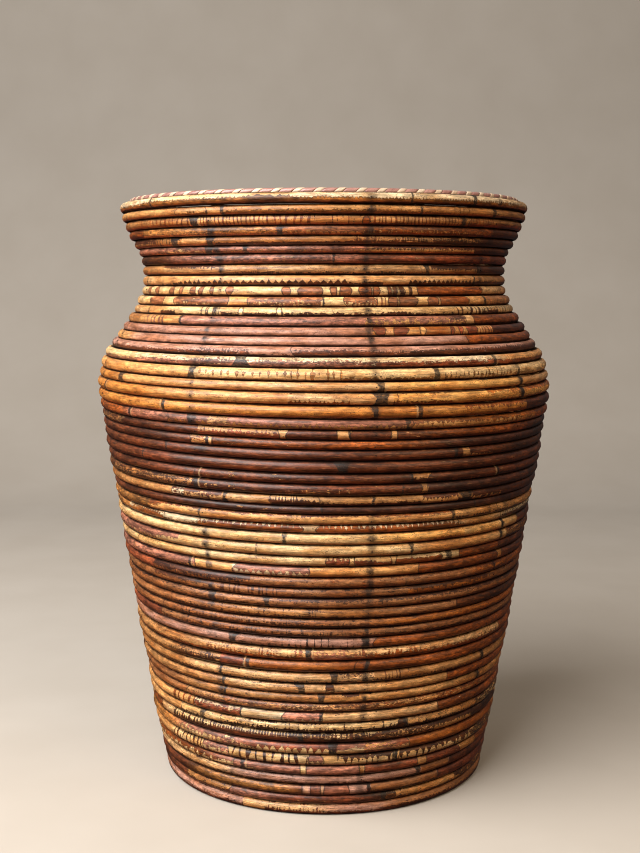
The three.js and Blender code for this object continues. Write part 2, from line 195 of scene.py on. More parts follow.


# course: skin, flesh, usual style, stretches by angle from the front (with
# their own skin and flesh where those differ), nodes (angle, half width in
# mm, side of the pale brow)
# the dark skin stretches that close many courses at the right, towards 75, are partly painted shade of the vase's
# shaded right side and partly darker skin
LOOK = {
    1: ("ochre", "cream", L(.1, .4, 3.0), [(-75, -54, L(-.25, .5, 5.0)), (-54, -50, L(.3, .4)), (-50, -30, L(.05, .3, 3.0, fine=.2), "ochre", "straw"), (-30, -19, L(.1, .4, 3.4, fine=.2), "ochre", "straw"), (-19, -9, L(.40, .5, 8.0, fine=.2), "umber", "straw"), (-9, 10, L(.05, .4, 3.0, fine=.3)), (10, 41, L(-.12, .5, 2.6, fine=.3)), (41, 75, L(0, .5, 3.0))], [(41.6, 2.0, 0), (-51.5, 1.0, 0), (22, .6, 0)]),
    2: ("ochre", "honey", L(-.15, .5, 3.2), [(-75, -42, L(-.8, .2)), (-42, -31, L(-.1, .7, 3.0)), (-31, -27, F(.3)), (-25.5, 10, L(0, .5, 3.2, gam=.6)), (10, 28, L(-.1, .7, 2.8)), (28, 34, L(-.45, .2)), (34, 42, F(.4, .7, 4.6)), (42, 50, F(.3)), (52, 75, L(-.4, .4), "chestnut", "tan")], [(-26.5, 1.3, 0), (51, 1.9, 0), (25, 1.2, 0)]),
    3: ("chestnut", "honey", F(.4, .6, 3.2), [(-75, -60, F(.4), None, "tan"), (-60, -38, F(.4, .9, 5.0), None, "tan"), (-33, -14, F(.4, 1.0, 3.2)), (-14, -3, F(.4, .85, 5.0)), (-3, 9.5, F(.4, .3, 4.0)), (9.5, 11.5, S()), (11.5, 21, L(-.3, .3, 3.2, bars=1.0)), (21, 37, F(.4, .8, 2.9), None, "tan"), (41, 52, L(0, .5, 3.6, bars=.8), None, "tan"), (52, 75, L(.3, .3), None, "tan")], [(-36, 3.4, 1), (39, 2.6, 0)]),
    4: ("chestnut", "honey", U(-.35, .5, 2.6, fine=.9), [(-75, -61, S(.6)), (-61, -33, U(.1, .5, 4.0, fine=1.2), "ochre"), (-31, -12, U(.0, .8, 3.0, fine=1.0), "ochre"), (-9, 10, U(-.1, 1.0, 4.4, fine=.6, gam=2), "bead"), (10, 53, C(-.1, 1.0, 3.0, fine=.9)), (53, 75, S(.4), "umber")], [(-11.5, 2.4, 0), (-32, 1.6, 0)]),
    5: ("umber", "tan", U(.6, .3, 3.0), [(-75, -56, U(.2, .6, 4.0, fine=1.0), "mahogany"), (-56, -48, F(.5, .5, 3.4)), (-43, -34, F(.5), None, "peach"), (-31, 8, L(-.1, .25, 3.0)), (8, 30, L(.4, .8, 2.6, fine=.8)), (30, 50, L(.5, .6, 3.0, fine=.9)), (50, 75, S(.6))], [(-46, 4.0, 0), (-32.5, 3.0, 0)]),
    6: ("redbrown", "tan", U(-.4, .8, 2.8, fine=.8), [(-75, -57, U(-.45, .3), "rose", "straw"), (-57, -37, U(-.1, .9, 4.0, fine=1.3), "rose", "straw"), (-30, 10, U(-.15, .9, 2.8, fine=.9), "rose"), (10, 48, U(.40, .7, 3.0, fine=.8), None, "honey"), (48, 75, S(.5), "umber")], [(-34, 3.4, 0), (-22, 1.8, 0)]),
    7: ("rose", "peach", S(.6), [(-75, -50, S(.7), "umber"), (-50, -8, S(1.0)), (-8, -3, S(1.0), "mahogany"), (-3, 10, S(.9)), (10, 75, S(.6), "redbrown")], [(2.5, .8, 0)]),
    8: ("umber", "wheat", U(.75, .3, 3.4), [(-75, -56, F(.7), None, "tan"), (-56, -33, U(.5, .5, 3.4)), (-31, 29.5, L(-.78, .6, 1.8, fine=.7)), (32, 52, U(.1, .4, 3.0), None, "tan"), (53, 75, S(.4))], [(30.6, 1.9, 0), (52, 1.2, 0)]),
    9: ("umber", "peach", L(-.6, .9, 5.0, fine=.15), [(-75, -52.5, L(-.92, .2)), (-52.5, -49.5, L(-.5, .8, 5.0)), (-49.5, -47.5, L(-.9, .2)), (-47.5, 7, L(-.32, 1.0, 5.0, fine=.12, gam=.85)), (7, 16.5, L(-.35, .05)), (16.5, 24.5, F(.2)), (24.5, 49.5, L(-.28, 1.0, 4.2, fine=.15, gam=.85)), (50.5, 75, L(-.3, .4), "umber", "tan")], [(50, 1.5, 0)]),
    10: ("bead", "straw", F(.3), [(-68, -65, S(.3)), (-61.5, -58.5, S(.3)), (-52, -49.6, S()), (-47, -45.4, S()), (-42.3, -40, S()), (-38.8, -37, S()), (-34.5, -33.2, S()), (-29, -26.4, S(.3)), (-12, -9.3, S(.3)), (-7.4, -.4, S(.5)), (1.6, 3.4, S()), (4.2, 7.6, S()), (9.4, 13.2, S(.9), "chestnut"), (13.6, 15.6, S()), (17.8, 19, S(.3), "umber"), (19.6, 20.6, S(.3), "umber"), (21.4, 23, S(.3), "umber"), (24.4, 25.2, S(.3), "umber"), (27, 54, L(.72, .6, 3.4), "chestnut"), (54, 75, F(.6), None, "peach")], []),
    11: ("bead", "straw", F(.3), [(-62, -53, S(.4)), (-48, -27, U(-.62, .7, 3.4, fine=.7)), (-27, -21.5, F(.3), None, "honey"), (-21.5, -.2, U(-.5, .8, 3.4, fine=.9, gam=2)), (5, 8, U(-.2, .5, 3.0)), (8, 14.5, U(-.4, .8, 3.0, bars=.5)), (14.5, 17.5, F(.4, .8, 3.0)), (17.5, 20.4, S()), (20.8, 26.6, S(.4)), (29.6, 33.4, S()), (34, 45.4, S(.4), "chestnut"), (45.4, 52, F(.5), None, "honey"), (54, 75, F(.4, .8, 5.0), None, "tan")], [(-.2, .5, 0), (53.2, 1.6, 0)]),
    12: ("umber", "straw", L(-.88, .3, 4.0, fine=.6), [(-75, -53, F(.3), None, "peach"), (-53, -46, L(-.5, .8, 4.0)), (-46, -36, F(.4)), (-35.6, -34, G()), (-33.4, -31.6, G()), (-31, -29.6, G()), (-23.6, -22.2, G()), (-12.8, -11.4, G()), (15, 24, L(-.5, .7, 3.0, fine=.4)), (38, 50, F(.4, .9, 5.0)), (50, 60, L(-.4, .6, 4.0, bars=.6)), (60, 75, F(.4, .6, 6.0))], [(-60.5, .7, 0)]),
    13: ("rose", "honey", S(.8), [(-75, -60, F(.4), None, "tan"), (-60, -48, F(.4, .9, 6.0)), (-48, -42, F(.3)), (-41, -30, S(.4)), (-30, 10, S(.75)), (10, 41, U(-.3, 1.0, 4.0, fine=1.0)), (41, 44, F(.3), None, "peach"), (44, 75, S(.6), "chestnut")], [(-42, 1.3, 0)]),
    14: ("redbrown", "pink", F(.6), [(-48, 12, F(.3)), (12, 15.4, S(.4), None, "honey"), (15.4, 17.4, F(.4), None, "honey"), (17.4, 21.6, S(.4), None, "honey"), (21.6, 24.6, F(.4), None, "honey"), (24.6, 26.4, G(), None, "honey"), (26.4, 34, F(.4), None, "orange"), (34, 35.2, S(), None, "honey"), (35.2, 36.6, F(.3), None, "honey"), (36.6, 38.2, S(), None, "honey"), (38.2, 39.4, F(), None, "honey"), (39.4, 43.6, S(), None, "honey"), (43.6, 50, F(.4, 1.0, 3.4), None, "honey"), (50, 75, S(.6), "mahogany")], []),
    15: ("redbrown", "pink", F(.6), [(-75, -62, F(.4), None, "honey"), (-62, 38, F(.3)), (38, 75, S(.6), "chestnut")], []),
    16: ("mahogany", "pink", L(-.6, .4), [(-75, -40, L(-.6, .4, 3.0)), (-32, -18, L(-.45, .7, 2.6, fine=1.2)), (-18, -8, F(.6)), (-8, 10, L(-.15, .3, 3.0, fine=.8)), (12, 24, L(-.5, .6, 2.6, fine=.8)), (24, 37, L(-.2, .3, 3.0)), (37, 50, L(-.2, .6, 3.0)), (50, 75, L(0, .7, 3.6), "plum")], []),
    17: ("rose", "cream", L(-.1, .3), [(-75, -50, L(-.7, .2), None, "straw"), (-50, -33, L(-.3, .4, 4.0, fine=1.4)), (-31, -22, L(.1, .5, 4.0, fine=1.4), "plum"), (-16, 10, L(-.05, .4, 4.0, fine=1.2)), (10, 43, L(-.3, .3, 3.0, fine=.8), "redbrown"), (46, 75, L(-.5, .3), "chestnut", "honey")], [(-19.4, 5.2, 0), (44.4, 2.0, 1)]),
    18: ("ochre", "straw", F(.4), [(-75, -33, F(.5), None, "honey"), (-29.5, -8, B(-.16, 1.25, 6.0, fine=.12)), (-8, 4, B(-.2, 1.3, 5.0, fine=.3)), (0, 25, L(-.85, .3)), (28, 55, B(-.25, 1.1, 4.2, fine=.6)), (55, 75, F(.6))], [(-31.5, 3.0, 1), (26, 2.4, 0), (53, 1.4, 0)]),
    19: ("chestnut", "peach", F(.3), [(-75, -59, F(.3), None, "gold"), (-59, -30, F(.3), None, "honey"), (-30, 5, F(.25)), (14, 53, F(.35), None, "glow")], [(-57, 4.4, 0), (12.4, 2.6, 1), (53.5, 2.0, 0)]),
    20: ("chestnut", "peach", F(.4), [(-75, -44, F(.4), None, "gold"), (-44, -8, F(.4), None, "honey"), (-8, 5.5, L(-.6, .9, 3.4)), (15, 30, L(-.7, .7, 3.4, fine=.9), None, "glow"), (30, 40, F(.5), None, "glow"), (40, 75, U(.5, .8, 5.0, fine=.9), "amber", "glow")], [(-67, 1.8, 1), (12.4, 5.0, 0), (53.5, 2.2, 0)]),
    21: ("chestnut", "gold", F(.4), [(-20, 20, F(.35)), (33, 56, U(.6, 1.0, 4.4)), (56, 75, S(.5), "mahogany")], [(-39.4, 1.8, -1), (21.5, 1.6, -1), (11, 2.0, 0)]),
    22: ("rose", "honey", U(-.45, .9, 2.8, fine=.7), [(-75, -54, S(.9), "chestnut"), (-53, -38, S(.9)), (-38, -27, U(-.15, 1.2, 5.0, fine=.3), None, "tan"), (-27, -22, M(-.3), None, "peach"), (-22, 18, U(-.12, 1.2, 4.6, fine=.3), None, "tan"), (20, 40, U(.4, 1.0, 4.2, fine=.5), "amber"), (40, 62, U(0, 1.3, 6.0, gam=2), "amber"), (62, 75, S(.5), "chestnut")], [(-53, 1.6, 1), (18.8, 1.6, 0), (-32, 1.8, 0)]),
    23: ("mahogany", "peach", S(.6), [(-75, -58, M(0), None, "tan"), (-30, -10, L(.2, .8, 3.2, gam=.7), "redbrown"), (-10, -8.6, F(.3)), (-8.6, 2.6, S(.7, .5)), (2.8, 5.4, F(.3)), (8, 15, S(.8, .9)), (15, 16.4, F(.3)), (17, 24, S(1.0)), (24, 60, S(.6), "chestnut"), (60, 75, S(.4), "plum")], [(5.6, .8, 0)]),
    24: ("chestnut", "peach", S(.7), [(-75, -32, S(.6), "mahogany"), (-32, -28, M(-.2)), (-27.4, -26.2, F(.2)), (-26, 24, S(.75)), (24, 75, S(.4), "plum")], [(-27.8, 1.0, 0)]),
    25: ("mahogany", "honey", S(.45), [(-75, -40, S(.5)), (-39.6, -34, S(.4), "redbrown"), (-34, 30, S(.45)), (34, 36, G(), None, "tan"), (36, 44, U(-.2, .4), None, "honey"), (44, 75, S(.5), "umber")], [(-40.2, .8, 0), (32, 1.4, 0)]),
    26: ("mahogany", "peach", S(.45), [(-75, -49, S(.5)), (-49, -39.5, S(.3), "redbrown"), (-39.5, 6, S(.3)), (6, 75, S(.4))], [(4.0, 4.2, 0), (-49.3, .7, 0)]),
    27: ("mahogany", "honey", S(.6), [(-30, -10, S(.9)), (20.8, 24.6, L(.1, .5, fine=.6), None, "tan"), (27, 47, U(-.5, .5), None, "tan")], [(-31.5, 2.0, 1), (20.6, .9, 0), (47, 1.2, -1)]),
    28: ("mahogany", "honey", S(.6), [(-75, -33, M(.1), "umber", "tan"), (-31, -18, C(-.3, .8, 4.0, fine=.9)), (-10, 6, C(-.2, .8, 3.6, fine=.9)), (23.4, 24.8, F(.3), None, "tan"), (24.8, 75, S(.5), "plum")], [(-32, 2.2, 1), (18.4, .7, 0)]),
    29: ("mahogany", "tan", L(-.2, .3), [(-75, -40, F(.7)), (-40, -36, M(0), None, "cream"), (-36, -25, U(.15, .9, 4.0, fine=1.0), None, "wheat"), (-23.4, -13, F(.4), None, "wheat"), (-13, -6, L(.35, 1.3, 2.2, fine=.5), None, "peach"), (-6, -1, L(.25, .6, 3.0), None, "wheat"), (-1, 11, L(-.45, .4), None, "tan"), (12, 24, L(-.2, .5)), (24, 34, U(.3, .8, 3.0), None, "honey"), (38.5, 50, U(-.2, .7, 6.0), None, "honey"), (50, 75, S(.5))], [(-24.2, 1.4, 0), (11.4, 1.0, 0), (36.4, 5.4, 0)]),
    30: ("plum", "tan", S(.4), [(-75, -40, S(.5), "mahogany"), (-22, -2, S(.8))], [(-.6, .6, 0), (40, .8, 0)]),
    31: ("chestnut", "honey", U(.75, .4), [(-75, -50, M(.3, 0, .9), "ochre", "tan"), (-50, -46, U(.2, .6)), (-46, 10, U(.85, .3)), (12, 33, U(.8, .3, 4.0, fine=.8)), (33, 75, L(-.45, .9, 3.6, fine=.9), "umber", "honey")], [(33, 1.4, 0), (-32, 1.0, 0)]),
    32: ("ochre", "cream", L(.55, 1.1, 4.0, gam=.5), [(-75, -63, S(.5)), (-63, -58, L(.3, 1.0, 4.0)), (-58, -45, L(.5, .9, 3.2, gam=.5), "chestnut"), (-44.6, -33.4, L(-.75, .8, 4.2, gam=2)), (-33.4, -5, L(.48, 1.4, 4.6, gam=.45, fine=.3), "chestnut"), (-5, -2.2, F(.3)), (-2.2, 35, L(.40, 1.5, 4.2, gam=.45, fine=.3), "chestnut"), (35.4, 52, L(-.45, .7, 3.4), None, "honey"), (52, 75, L(.4, .9, 3.0), "umber")], []),
    33: ("amber", "straw", F(.3), [(12, 28, F(.3), None, "glow"), (28, 37.6, L(-.5, .9, 4.6, fine=.8), None, "glow"), (40, 52, F(.7), None, "glow"), (62, 75, S(.5), "mahogany")], [(-9.8, 1.6, 0), (53.2, 1.4, 0)]),
    34: ("rose", "straw", F(.2), [(-75, -48, U(-.25, 1.0, 4.6)), (-48, -40, U(.3, .4)), (24, 52, F(.6), None, "honey"), (56, 75, M(0), "mahogany", "tan")], [(-17, .5, 0), (22, 1.3, 0), (53, 1.8, 0)]),
    35: ("redbrown", "straw", F(.3), [(-75, -33, F(.3), None, "straw"), (.2, 6.2, L(.55, .7, 3.4)), (6.2, 7.4, F(.2)), (7.4, 11, L(.3, .4, 3.0)), (11, 17, L(-.05, .6, 4.0)), (18, 31.4, L(.35, .5, 6.0), "chestnut"), (36.8, 53, U(-.6, .6, 5.0), "chestnut"), (53, 75, S(.5), "mahogany")], [(-60, .6, 0), (33.4, 3.2, 1)]),
    36: ("rose", "honey", F(.3), [(-75, -48, S(.9)), (-48, -35, U(-.35, 1.2, 4.6, gam=1.5)), (-23.8, -3.6, U(-.14, 1.3, 5.0, gam=1.5, fine=.4), None, "cream"), (24.2, 30, U(-.4, .8, 6.0), "chestnut"), (30, 53, S(.7), "chestnut"), (55, 75, S(.7), "mahogany")], [(-37, 1.2, 1)]),
    37: ("chestnut", "brown", M(-.5, fine=1.2), [(-75, -52, S(.6), "redbrown"), (-52, -22, U(-.1, .8, 4.0, fine=.9), "plum"), (-22, -19, U(.1, .8, 3.0), "plum"), (44, 75, M(0), None, "orange")], [(21, .6, 0), (52, 1.2, 0)]),
    38: ("umber", "brown", M(-.5, fine=1.2), [(-53, -30, U(.3, .5, 3.0, fine=.9)), (-28, -20, F(.8, .7, 5.0)), (-20, -12, F(.8, 1.0, 4.0)), (22, 50, U(.3, .8, 5.0, fine=1.0), None, "orange")], []),
    39: ("umber", "brown", M(-.45, fine=1.2), [(-30, -16, L(-.4, .5, fine=1.0)), (-12, 10, U(.6, .6, fine=1.1)), (14, 75, U(.6, .5, fine=1.1))], [(-15, 2.0, 0), (-30, 1.6, 0)]),
    40: ("umber", "brown", L(-.6, .4), [(-75, -48, L(-.3, .5)), (-48, -30, L(-.2, .7, fine=1.0)), (-29, 0, L(-.45, .9, 3.6, fine=1.1), None, "tan"), (0, 12, L(-.6, .5, fine=1.0), None, "tan"), (14, 38, L(-.6, .5, fine=1.1)), (38, 75, S(.7))], []),
    41: ("umber", "brown", L(-.55, .7, 3.0, fine=1.0), [(-46, -30, L(-.1, 1.0, 3.4, fine=1.1)), (-30, 14, L(-.05, .9, 2.8, fine=1.4)), (14, 75, L(-.65, .5, fine=1.1), None, "orange")], []),
    42: ("umber", "brown", L(-.3, .6, 3.0), [(-75, -52, S(.6), "redbrown"), (-52, -30, L(-.2, 1.0, 4.0, fine=1.2)), (-30, -8, L(-.05, 1.0, 3.4, fine=1.3)), (-8, 12, L(-.2, .9, 2.4, fine=1.1)), (12, 75, L(-.2, .5, 3.0, fine=1.1))], []),
    43: ("umber", "pink", F(.5), [(-24, -12, L(-.7, .7, 5.0, fine=.9), None, "pink"), (-12, 8, L(-.5, 1.6, 4.8, gam=2.0, fine=.3), "plum", "pink"), (8, 13, F(.6), None, "pink"), (13, 75, S(.7), "chestnut")], [(-25.6, 3.2, 0), (11, 3.0, 0)]),
    44: ("chestnut", "peach", L(0, .6), [(-75, -35, L(-.3, .5, 4.0, fine=1.2), None, "tan"), (-35, -6, L(.0, 1.0, 3.6, fine=1.4)), (-3, 8, L(.3, .6, 4.0, fine=1.0), "rose"), (8, 26, L(.15, 1.0, 3.6, fine=.9)), (26, 62, L(.05, .5, 4.0, fine=.7)), (62, 75, S(.5))], [(-4.2, 2.2, 1)]),
    45: ("chestnut", "orange", F(.6), [(-75, -48, L(.1, .4), "ochre", "tan"), (-48, -30, L(.3, .7, 4.0, fine=1.3), "umber", "tan"), (-30, -22.5, S(.8), "redbrown"), (-20, 8, L(-.4, .3, fine=.7)), (8, 75, S(.6))], [(-21.4, 1.8, -1), (11.6, 1.6, 0)]),
    46: ("umber", "tan", L(-.75, .4), [(-75, -56, L(-.4, .5), "ochre"), (-56, -41, L(-.2, .6, 4.0)), (-41, -31, L(-.7, .7, 4.0), None, "peach"), (-30, 1.4, L(-.75, .8, 3.0), None, "peach"), (4, 14, M(-.3), None, "peach"), (14, 22, L(-.5, .7, 3.0, bars=.4)), (22, 53, L(-.55, .8, 3.4))], [(2.6, 2.6, 0), (-30.5, 1.2, 0), (53.6, 1.6, 0)]),
    47: ("umber", "tan", F(1.1), [(-75, -31, L(-.6, .4, 4.0, fine=1.0), "ochre"), (-29, -8, F(1.1), None, "peach"), (-5, .2, F(.4), None, "peach"), (.4, 2.8, U(-.1, .05), None, "peach"), (2.8, 13, F(1.2), None, "peach"), (14, 38, F(.5), None, "honey"), (38, 75, S(.7), "chestnut")], [(-6.6, 2.8, 0), (-30, 1.2, 0)]),
    48: ("umber", "honey", F(.8), [(-75, -46, F(.8), None, "brown"), (-46, -31, F(.8), None, "tan"), (-29, -2, F(1.2), None, "tan"), (5, 10, U(.6, .5)), (13.5, 52, F(.6))], [(-.8, 2.4, 0), (-30, 1.2, 0), (53.5, 1.4, 0)]),
    49: ("chestnut", "tan", M(.25, fine=1.2), [(-75, -46, F(.7), None, "brown"), (-46, -31, L(.1, .6, fine=1.0), "bead"), (-29, -18, M(.3, fine=1.3), "bead"), (-18, 10, M(.15, fine=1.4), "bead", "peach"), (14, 50, M(.05, fine=1.3), None, "honey")], []),
    50: ("umber", "cream", S(.6), [(-75, -54, F(.3), None, "honey"), (-54, -42.5, F(.3, .8, 6.0), "chestnut", "honey"), (-42.5, -25.4, L(.55, .6, 4.0, fine=1.0), "redbrown"), (-25.2, -12.6, F(.3)), (-12.6, -1, U(-.3, 1.0, 5.0, fine=.8), "rose"), (-.6, 36, F(.6), None, "peach"), (36, 75, S(.7), "chestnut")], [(-1.2, 1.3, 0), (-25.2, .5, 0)]),
    51: ("umber", "straw", L(-.4, .9, 3.0), [(-75, -50, F(.5), None, "honey"), (-50, -41, L(-.35, 1.2, 3.2)), (-39, -33, L(-.7, .5)), (-33, 22, L(-.15, 1.0, 3.2, fine=1.0)), (22, 25, S(.5)), (27, 55, L(-.3, 1.1, 3.4, fine=.9), None, "honey"), (55, 75, M(.2))], [(-39.8, 2.4, 0), (25, 2.0, 0)]),
    52: ("umber", "straw", L(.5, .9, 3.0), [(-75, -63.5, S(.5), "chestnut"), (-63.5, -55, F(.3), None, "peach"), (-54, -38, L(.1, 1.4, 3.2, gam=.6)), (-38, -8, L(.45, 1.2, 2.4, gam=.6), "mahogany"), (-6, 16, L(.5, 1.1, 3.0, fine=1.1, gam=.6)), (16, 35, M(.2, fine=1.4), None, "honey"), (35.5, 53, U(.3, .6), None, "honey"), (53, 75, S(.6))], [(-7, 2.4, 0)]),
    53: ("redbrown", "straw", U(-.3, .9, 6.0), [(-75, -53, U(0, .8, 6.0), "ochre", "honey"), (-53, -33, U(.1, 1.5, 4.6, gam=2), "rose"), (-33, -27, M(.4), "rose"), (-26.6, -22.6, U(0, .4), "rose", "peach"), (-22, 2, U(.05, 1.6, 5.8, fine=.25, gam=2)), (3.8, 12, U(.35, .3, 6.0), "rose", "cream"), (12, 22, M(.1, fine=1.4), "rose", "honey"), (22.4, 26.8, U(.1, .2), None, "peach"), (26.8, 75, F(.6), "chestnut", "orange")], [(2.6, 3.2, 0)]),
    54: ("umber", "straw", F(.3, .6, 6.0), [(-75, -59, F(.4), None, "honey"), (-59, -42, F(.4, .8, 4.6)), (-41.6, -31, U(.1, 1.0, 5.0, fine=.8), "rose"), (-31, -5, F(.3, .62, 6.6)), (-5, 0, U(-.1, .6, 4.0), "rose"), (0, 4, F(.3)), (4, 21, U(.2, 1.6, 5.6, gam=2)), (23.4, 55, U(.1, 1.8, 6.4, gam=2)), (55, 75, M(.2))], [(22.2, 2.4, 0)]),
    55: ("rose", "straw", S(.6), [(-75, -36, U(0, 1.6, 8.0, gam=2), "chestnut"), (-36, -30, U(.35, .8, 5.0)), (-25.8, -19, U(-.2, .4)), (-19, -8, U(-.72, .5)), (-7.4, -5.6, F(.2)), (-5.4, 10.8, U(-.8, .5, 5.0)), (11, 12.6, F(.3), None, "tan"), (12.8, 30.6, S(.6), "redbrown"), (30.8, 34.4, F(.3), None, "honey"), (34.6, 50, S(.6), "redbrown"), (50, 60, F(.7), None, "honey"), (60, 75, S(.6), "chestnut")], [(-26.6, 2.0, 1)]),
    56: ("mahogany", "pink", L(-.5, .4), [(-75, -32, L(-.5, .5, 4.0, fine=.9), None, "peach"), (-30, 13, L(-.5, .5, 4.0, fine=.8)), (13, 30, L(-.4, .3)), (33, 45, F(.6), None, "brown"), (45, 75, S(.6))], [(31.4, 2.2, 0)]),
    57: ("redbrown", "pink", S(.6), [(-75, -48, S(.6), "mahogany"), (-48, -11, S(.9), "ochre"), (-10.6, -7.4, S(.3), "mahogany"), (-7, -4.4, F(.4)), (-4.2, -1.4, S(.3), "mahogany"), (-1.2, -.2, F(.2), None, "peach"), (-.2, 5, S(.3), "rose"), (5, 8, S(.3), "mahogany"), (8, 13.6, F(.4)), (15, 40, L(-.3, .3), "umber", "brown"), (40, 75, S(.5))], [(14.2, 1.0, 0)]),
    58: ("umber", "tan", M(.3, fine=1.0), [(-75, -53, S(.7), "mahogany"), (-53, -33, L(-.1, .5, 4.0, fine=1.1)), (-33, -18, S(.9), "rose"), (-18, 10, S(.9), "redbrown"), (10, 18, S(.7), "plum"), (24, 33, L(-.4, .9, 5.0), None, "honey"), (33, 50, L(-.35, .6, 5.0), None, "honey"), (50, 75, M(.2))], [(19.5, 2.4, 0)]),
    59: ("redbrown", "pink", L(-.3, .4), [(-75, -28, L(-.3, .5, 3.4, fine=1.0)), (-28, -20, F(.6), None, "peach"), (-20, 0, L(-.25, .8, 3.0, fine=.9), None, "peach"), (0, 20, L(-.4, .4, fine=.8)), (20, 75, L(0, .4), "mahogany", "brown")], []),
}

# the unseen back takes the same kinds of stretches, in a fixed random order;
# the last stretch on either side of the front runs on by its own length, so the dark right-hand ends, partly painted
# shade, run on round the side
rng = random.Random(59)
run_on = random.Random(61)


def fill_back():
    for n in range(1, N + 1):
        skin, flesh, usual, stretches, nodes = LOOK[n]
        right, left = 75.0 + run_on.uniform(0, 42), 285.0 - run_on.uniform(0, 36)
        behind = [(left, 285.0) + st[2:] for st in stretches if st[0] == -75]
        stretches = [st[:1] + (right,) + st[2:] if st[1] == 75 else st for st in stretches] + behind
        nodes = list(nodes)
        a = right
        while a < left:
            b = min(a + rng.uniform(8, 46), left)
            kind = rng.random()
            style = usual
            if kind < 0.16:
                style = S(rng.uniform(.5, 1.1))
            elif kind < 0.30:
                style = F(rng.uniform(.4, .9), rng.choice([0, 0, .45]))
            elif kind < 0.46:
                style = L(rng.uniform(-.6, .4), rng.uniform(.3, 1.1), rng.uniform(3.4, 5.6))
            elif kind < 0.62:
                style = U(rng.uniform(-.5, .6), rng.uniform(.3, 1.1), rng.uniform(3.4, 5.6))
            stretches.append((a, b, style))
            a = b
        at = rng.uniform(80, 150)
        while at < 280:
            nodes.append((at, rng.choice([.8, 1.4, 1.8, 2.4, 3.0]), rng.choice([-1, 0, 0, 1])))
            at += rng.uniform(60, 150)
        LOOK[n] = (skin, flesh, usual, stretches, nodes)


fill_back()
STAIN = [[rng.choice([.05, .1, .2, .35, .5, .7]) for _ in RIB_ANGLES] for _ in range(N)]
for k_rib, strong, faint in (
        (2, (4, 6, 7, 8, 12, 14, 15, 22, 33, 34, 35, 36, 38, 39, 48), (3, 9, 10, 13, 17, 19, 20, 21, 40, 41, 42, 46, 47, 56)),
        (3, (2, 4, 7, 8, 9, 10, 12, 13, 14, 15, 16, 33, 36, 37, 38, 43, 46, 48, 49), (1, 5, 6, 11, 17, 18, 21, 23, 31, 32, 34, 35, 39, 40, 41, 42, 45, 50, 56, 57)),
        (4, (8, 19, 20, 33, 46, 48), (1, 5, 7, 9, 18, 31, 34, 47))):
    for n in range(1, N + 1):
        STAIN[n - 1][k_rib] = .97 if n in strong else .62 if n in faint else .12

TURN0 = -109.9       # each turn of the run starts at this angle


def step_at(angle):
    x = np.clip((angle - STEP_FROM) / (STEP_TO - STEP_FROM), 0, 1)
    return x * x * (3 - 2 * x)


def run_states(turn, angle):
    """Centre, section and look of the run of canes. turn counts courses from 0."""
    s = step_at(angle)[:, None]
    a = courses[np.clip(turn, 0, LAST)].copy()
    b = courses[np.clip(turn + 1, 0, LAST)].copy()
    lead, tail = turn < 1, turn == LAST - 1
    a[lead] = between(0)
    b[tail] = between(LAST - 1)
    return a + (b - a) * s


def home(angle):
    """The angle in the range that the looks are written for."""
    if angle > 285:
        angle -= 360
    if angle < -75:
        angle += 360
    return angle


def look_at(n, angle):
    """Style of course n (from 1) at an angle in the turn that starts at TURN0."""
    angle = home(angle)
    for stretch in LOOK[n][3]:
        if stretch[0] <= angle < stretch[1]:
            return stretch[2]
    return LOOK[n][2]


def colours_at(n, angle):
    """Skin and flesh of course n at an angle."""
    angle = home(angle)
    skin, flesh = LOOK[n][:2]
    for stretch in LOOK[n][3]:
        if stretch[0] <= angle < stretch[1]:
            if len(stretch) > 3 and stretch[3]:
                skin = stretch[3]
            if len(stretch) > 4:
                flesh = stretch[4]
            break
    return np.array(SKIN[skin]), np.array(FLESH[flesh])


def eased_colours(n, angle, kind):
    """Skin and flesh, run together where the kind of look stays the same."""
    pairs = [colours_at(n, angle + d) for d in (-5, -3, -1, 1, 3, 5) if look_at(n, angle + d)[0] == kind]
    pairs.append(colours_at(n, angle))
    return sum(q[0] for q in pairs) / len(pairs), sum(q[1] for q in pairs) / len(pairs)


def level(style):
    """How much skin a style leaves."""
    return {"S": .85, "G": .85, "F": -.85, "L": style[1], "U": -style[1], "M": style[1], "B": -.5, "C": .5}[style[0]]


def ends_of(n):
    """Where the look of course n changes: angle, which side keeps more skin, slant and bulge of the end."""
    marks = sorted({e for st in LOOK[n][3] for e in st[:2]})
    rows = []
    for k, e in enumerate(marks):
        d = level(look_at(n, e + .01)) - level(look_at(n, e - .01))
        room = min([abs(e - o) for o in marks if abs(e - o) > .05] + [6.0])
        q = np.random.RandomState(int(abs(e) * 10) + n * 131).uniform(-1, 1, 2)
        rows.append((e, 0 if abs(d) < .7 else math.copysign(1, d), min(.5, .3 * room) * q[0], min(1.5, .55 * room) * (.70 + .30 * q[1])))
    seen = [q for q in rows if q[1]]
    return np.array(seen or [(400.0, 1, 0, 0)])


ENDS = {n: ends_of(n) for n in range(1, N + 1)}


def soft_edge(n, angle, style):
    """Height of the skin's edge, eased where one stretch of a kind runs into the next."""
    if style[0] not in "LU":
        return style[1]
    near = [look_at(n, angle + d) for d in (-3, -2, -1, 1, 2, 3)]
    if any(o[0] != style[0] for o in near):
        return style[1]
    return (style[1] + sum(o[1] for o in near)) / 7


def peel_of(style, edge, up):
    """Above zero where the skin is left on, at a height on the cane's section."""
    kind = style[0]
    if kind in "SG":
        return 0.85
    if kind == "F":
        return -0.85
    if kind == "L":
        return min(max(1.5 * (edge - up), -1.0), 1.0)
    if kind == "U":
        return min(max(1.5 * (up - edge), -1.0), 1.0)
    if kind == "B":
        return max(min(1.5 * (up - edge), 3.0 * (edge + .15 - up)) - .25, -1.0)
    if kind == "C":
        return -max(min(1.5 * (up - edge), 3.0 * (edge + .15 - up)) - .25, -1.0)
    return edge


TONE = [rng.uniform(.92, 1.08) for _ in range(N)]
PROUD = [rng.uniform(-.55, .55) for _ in range(N)]


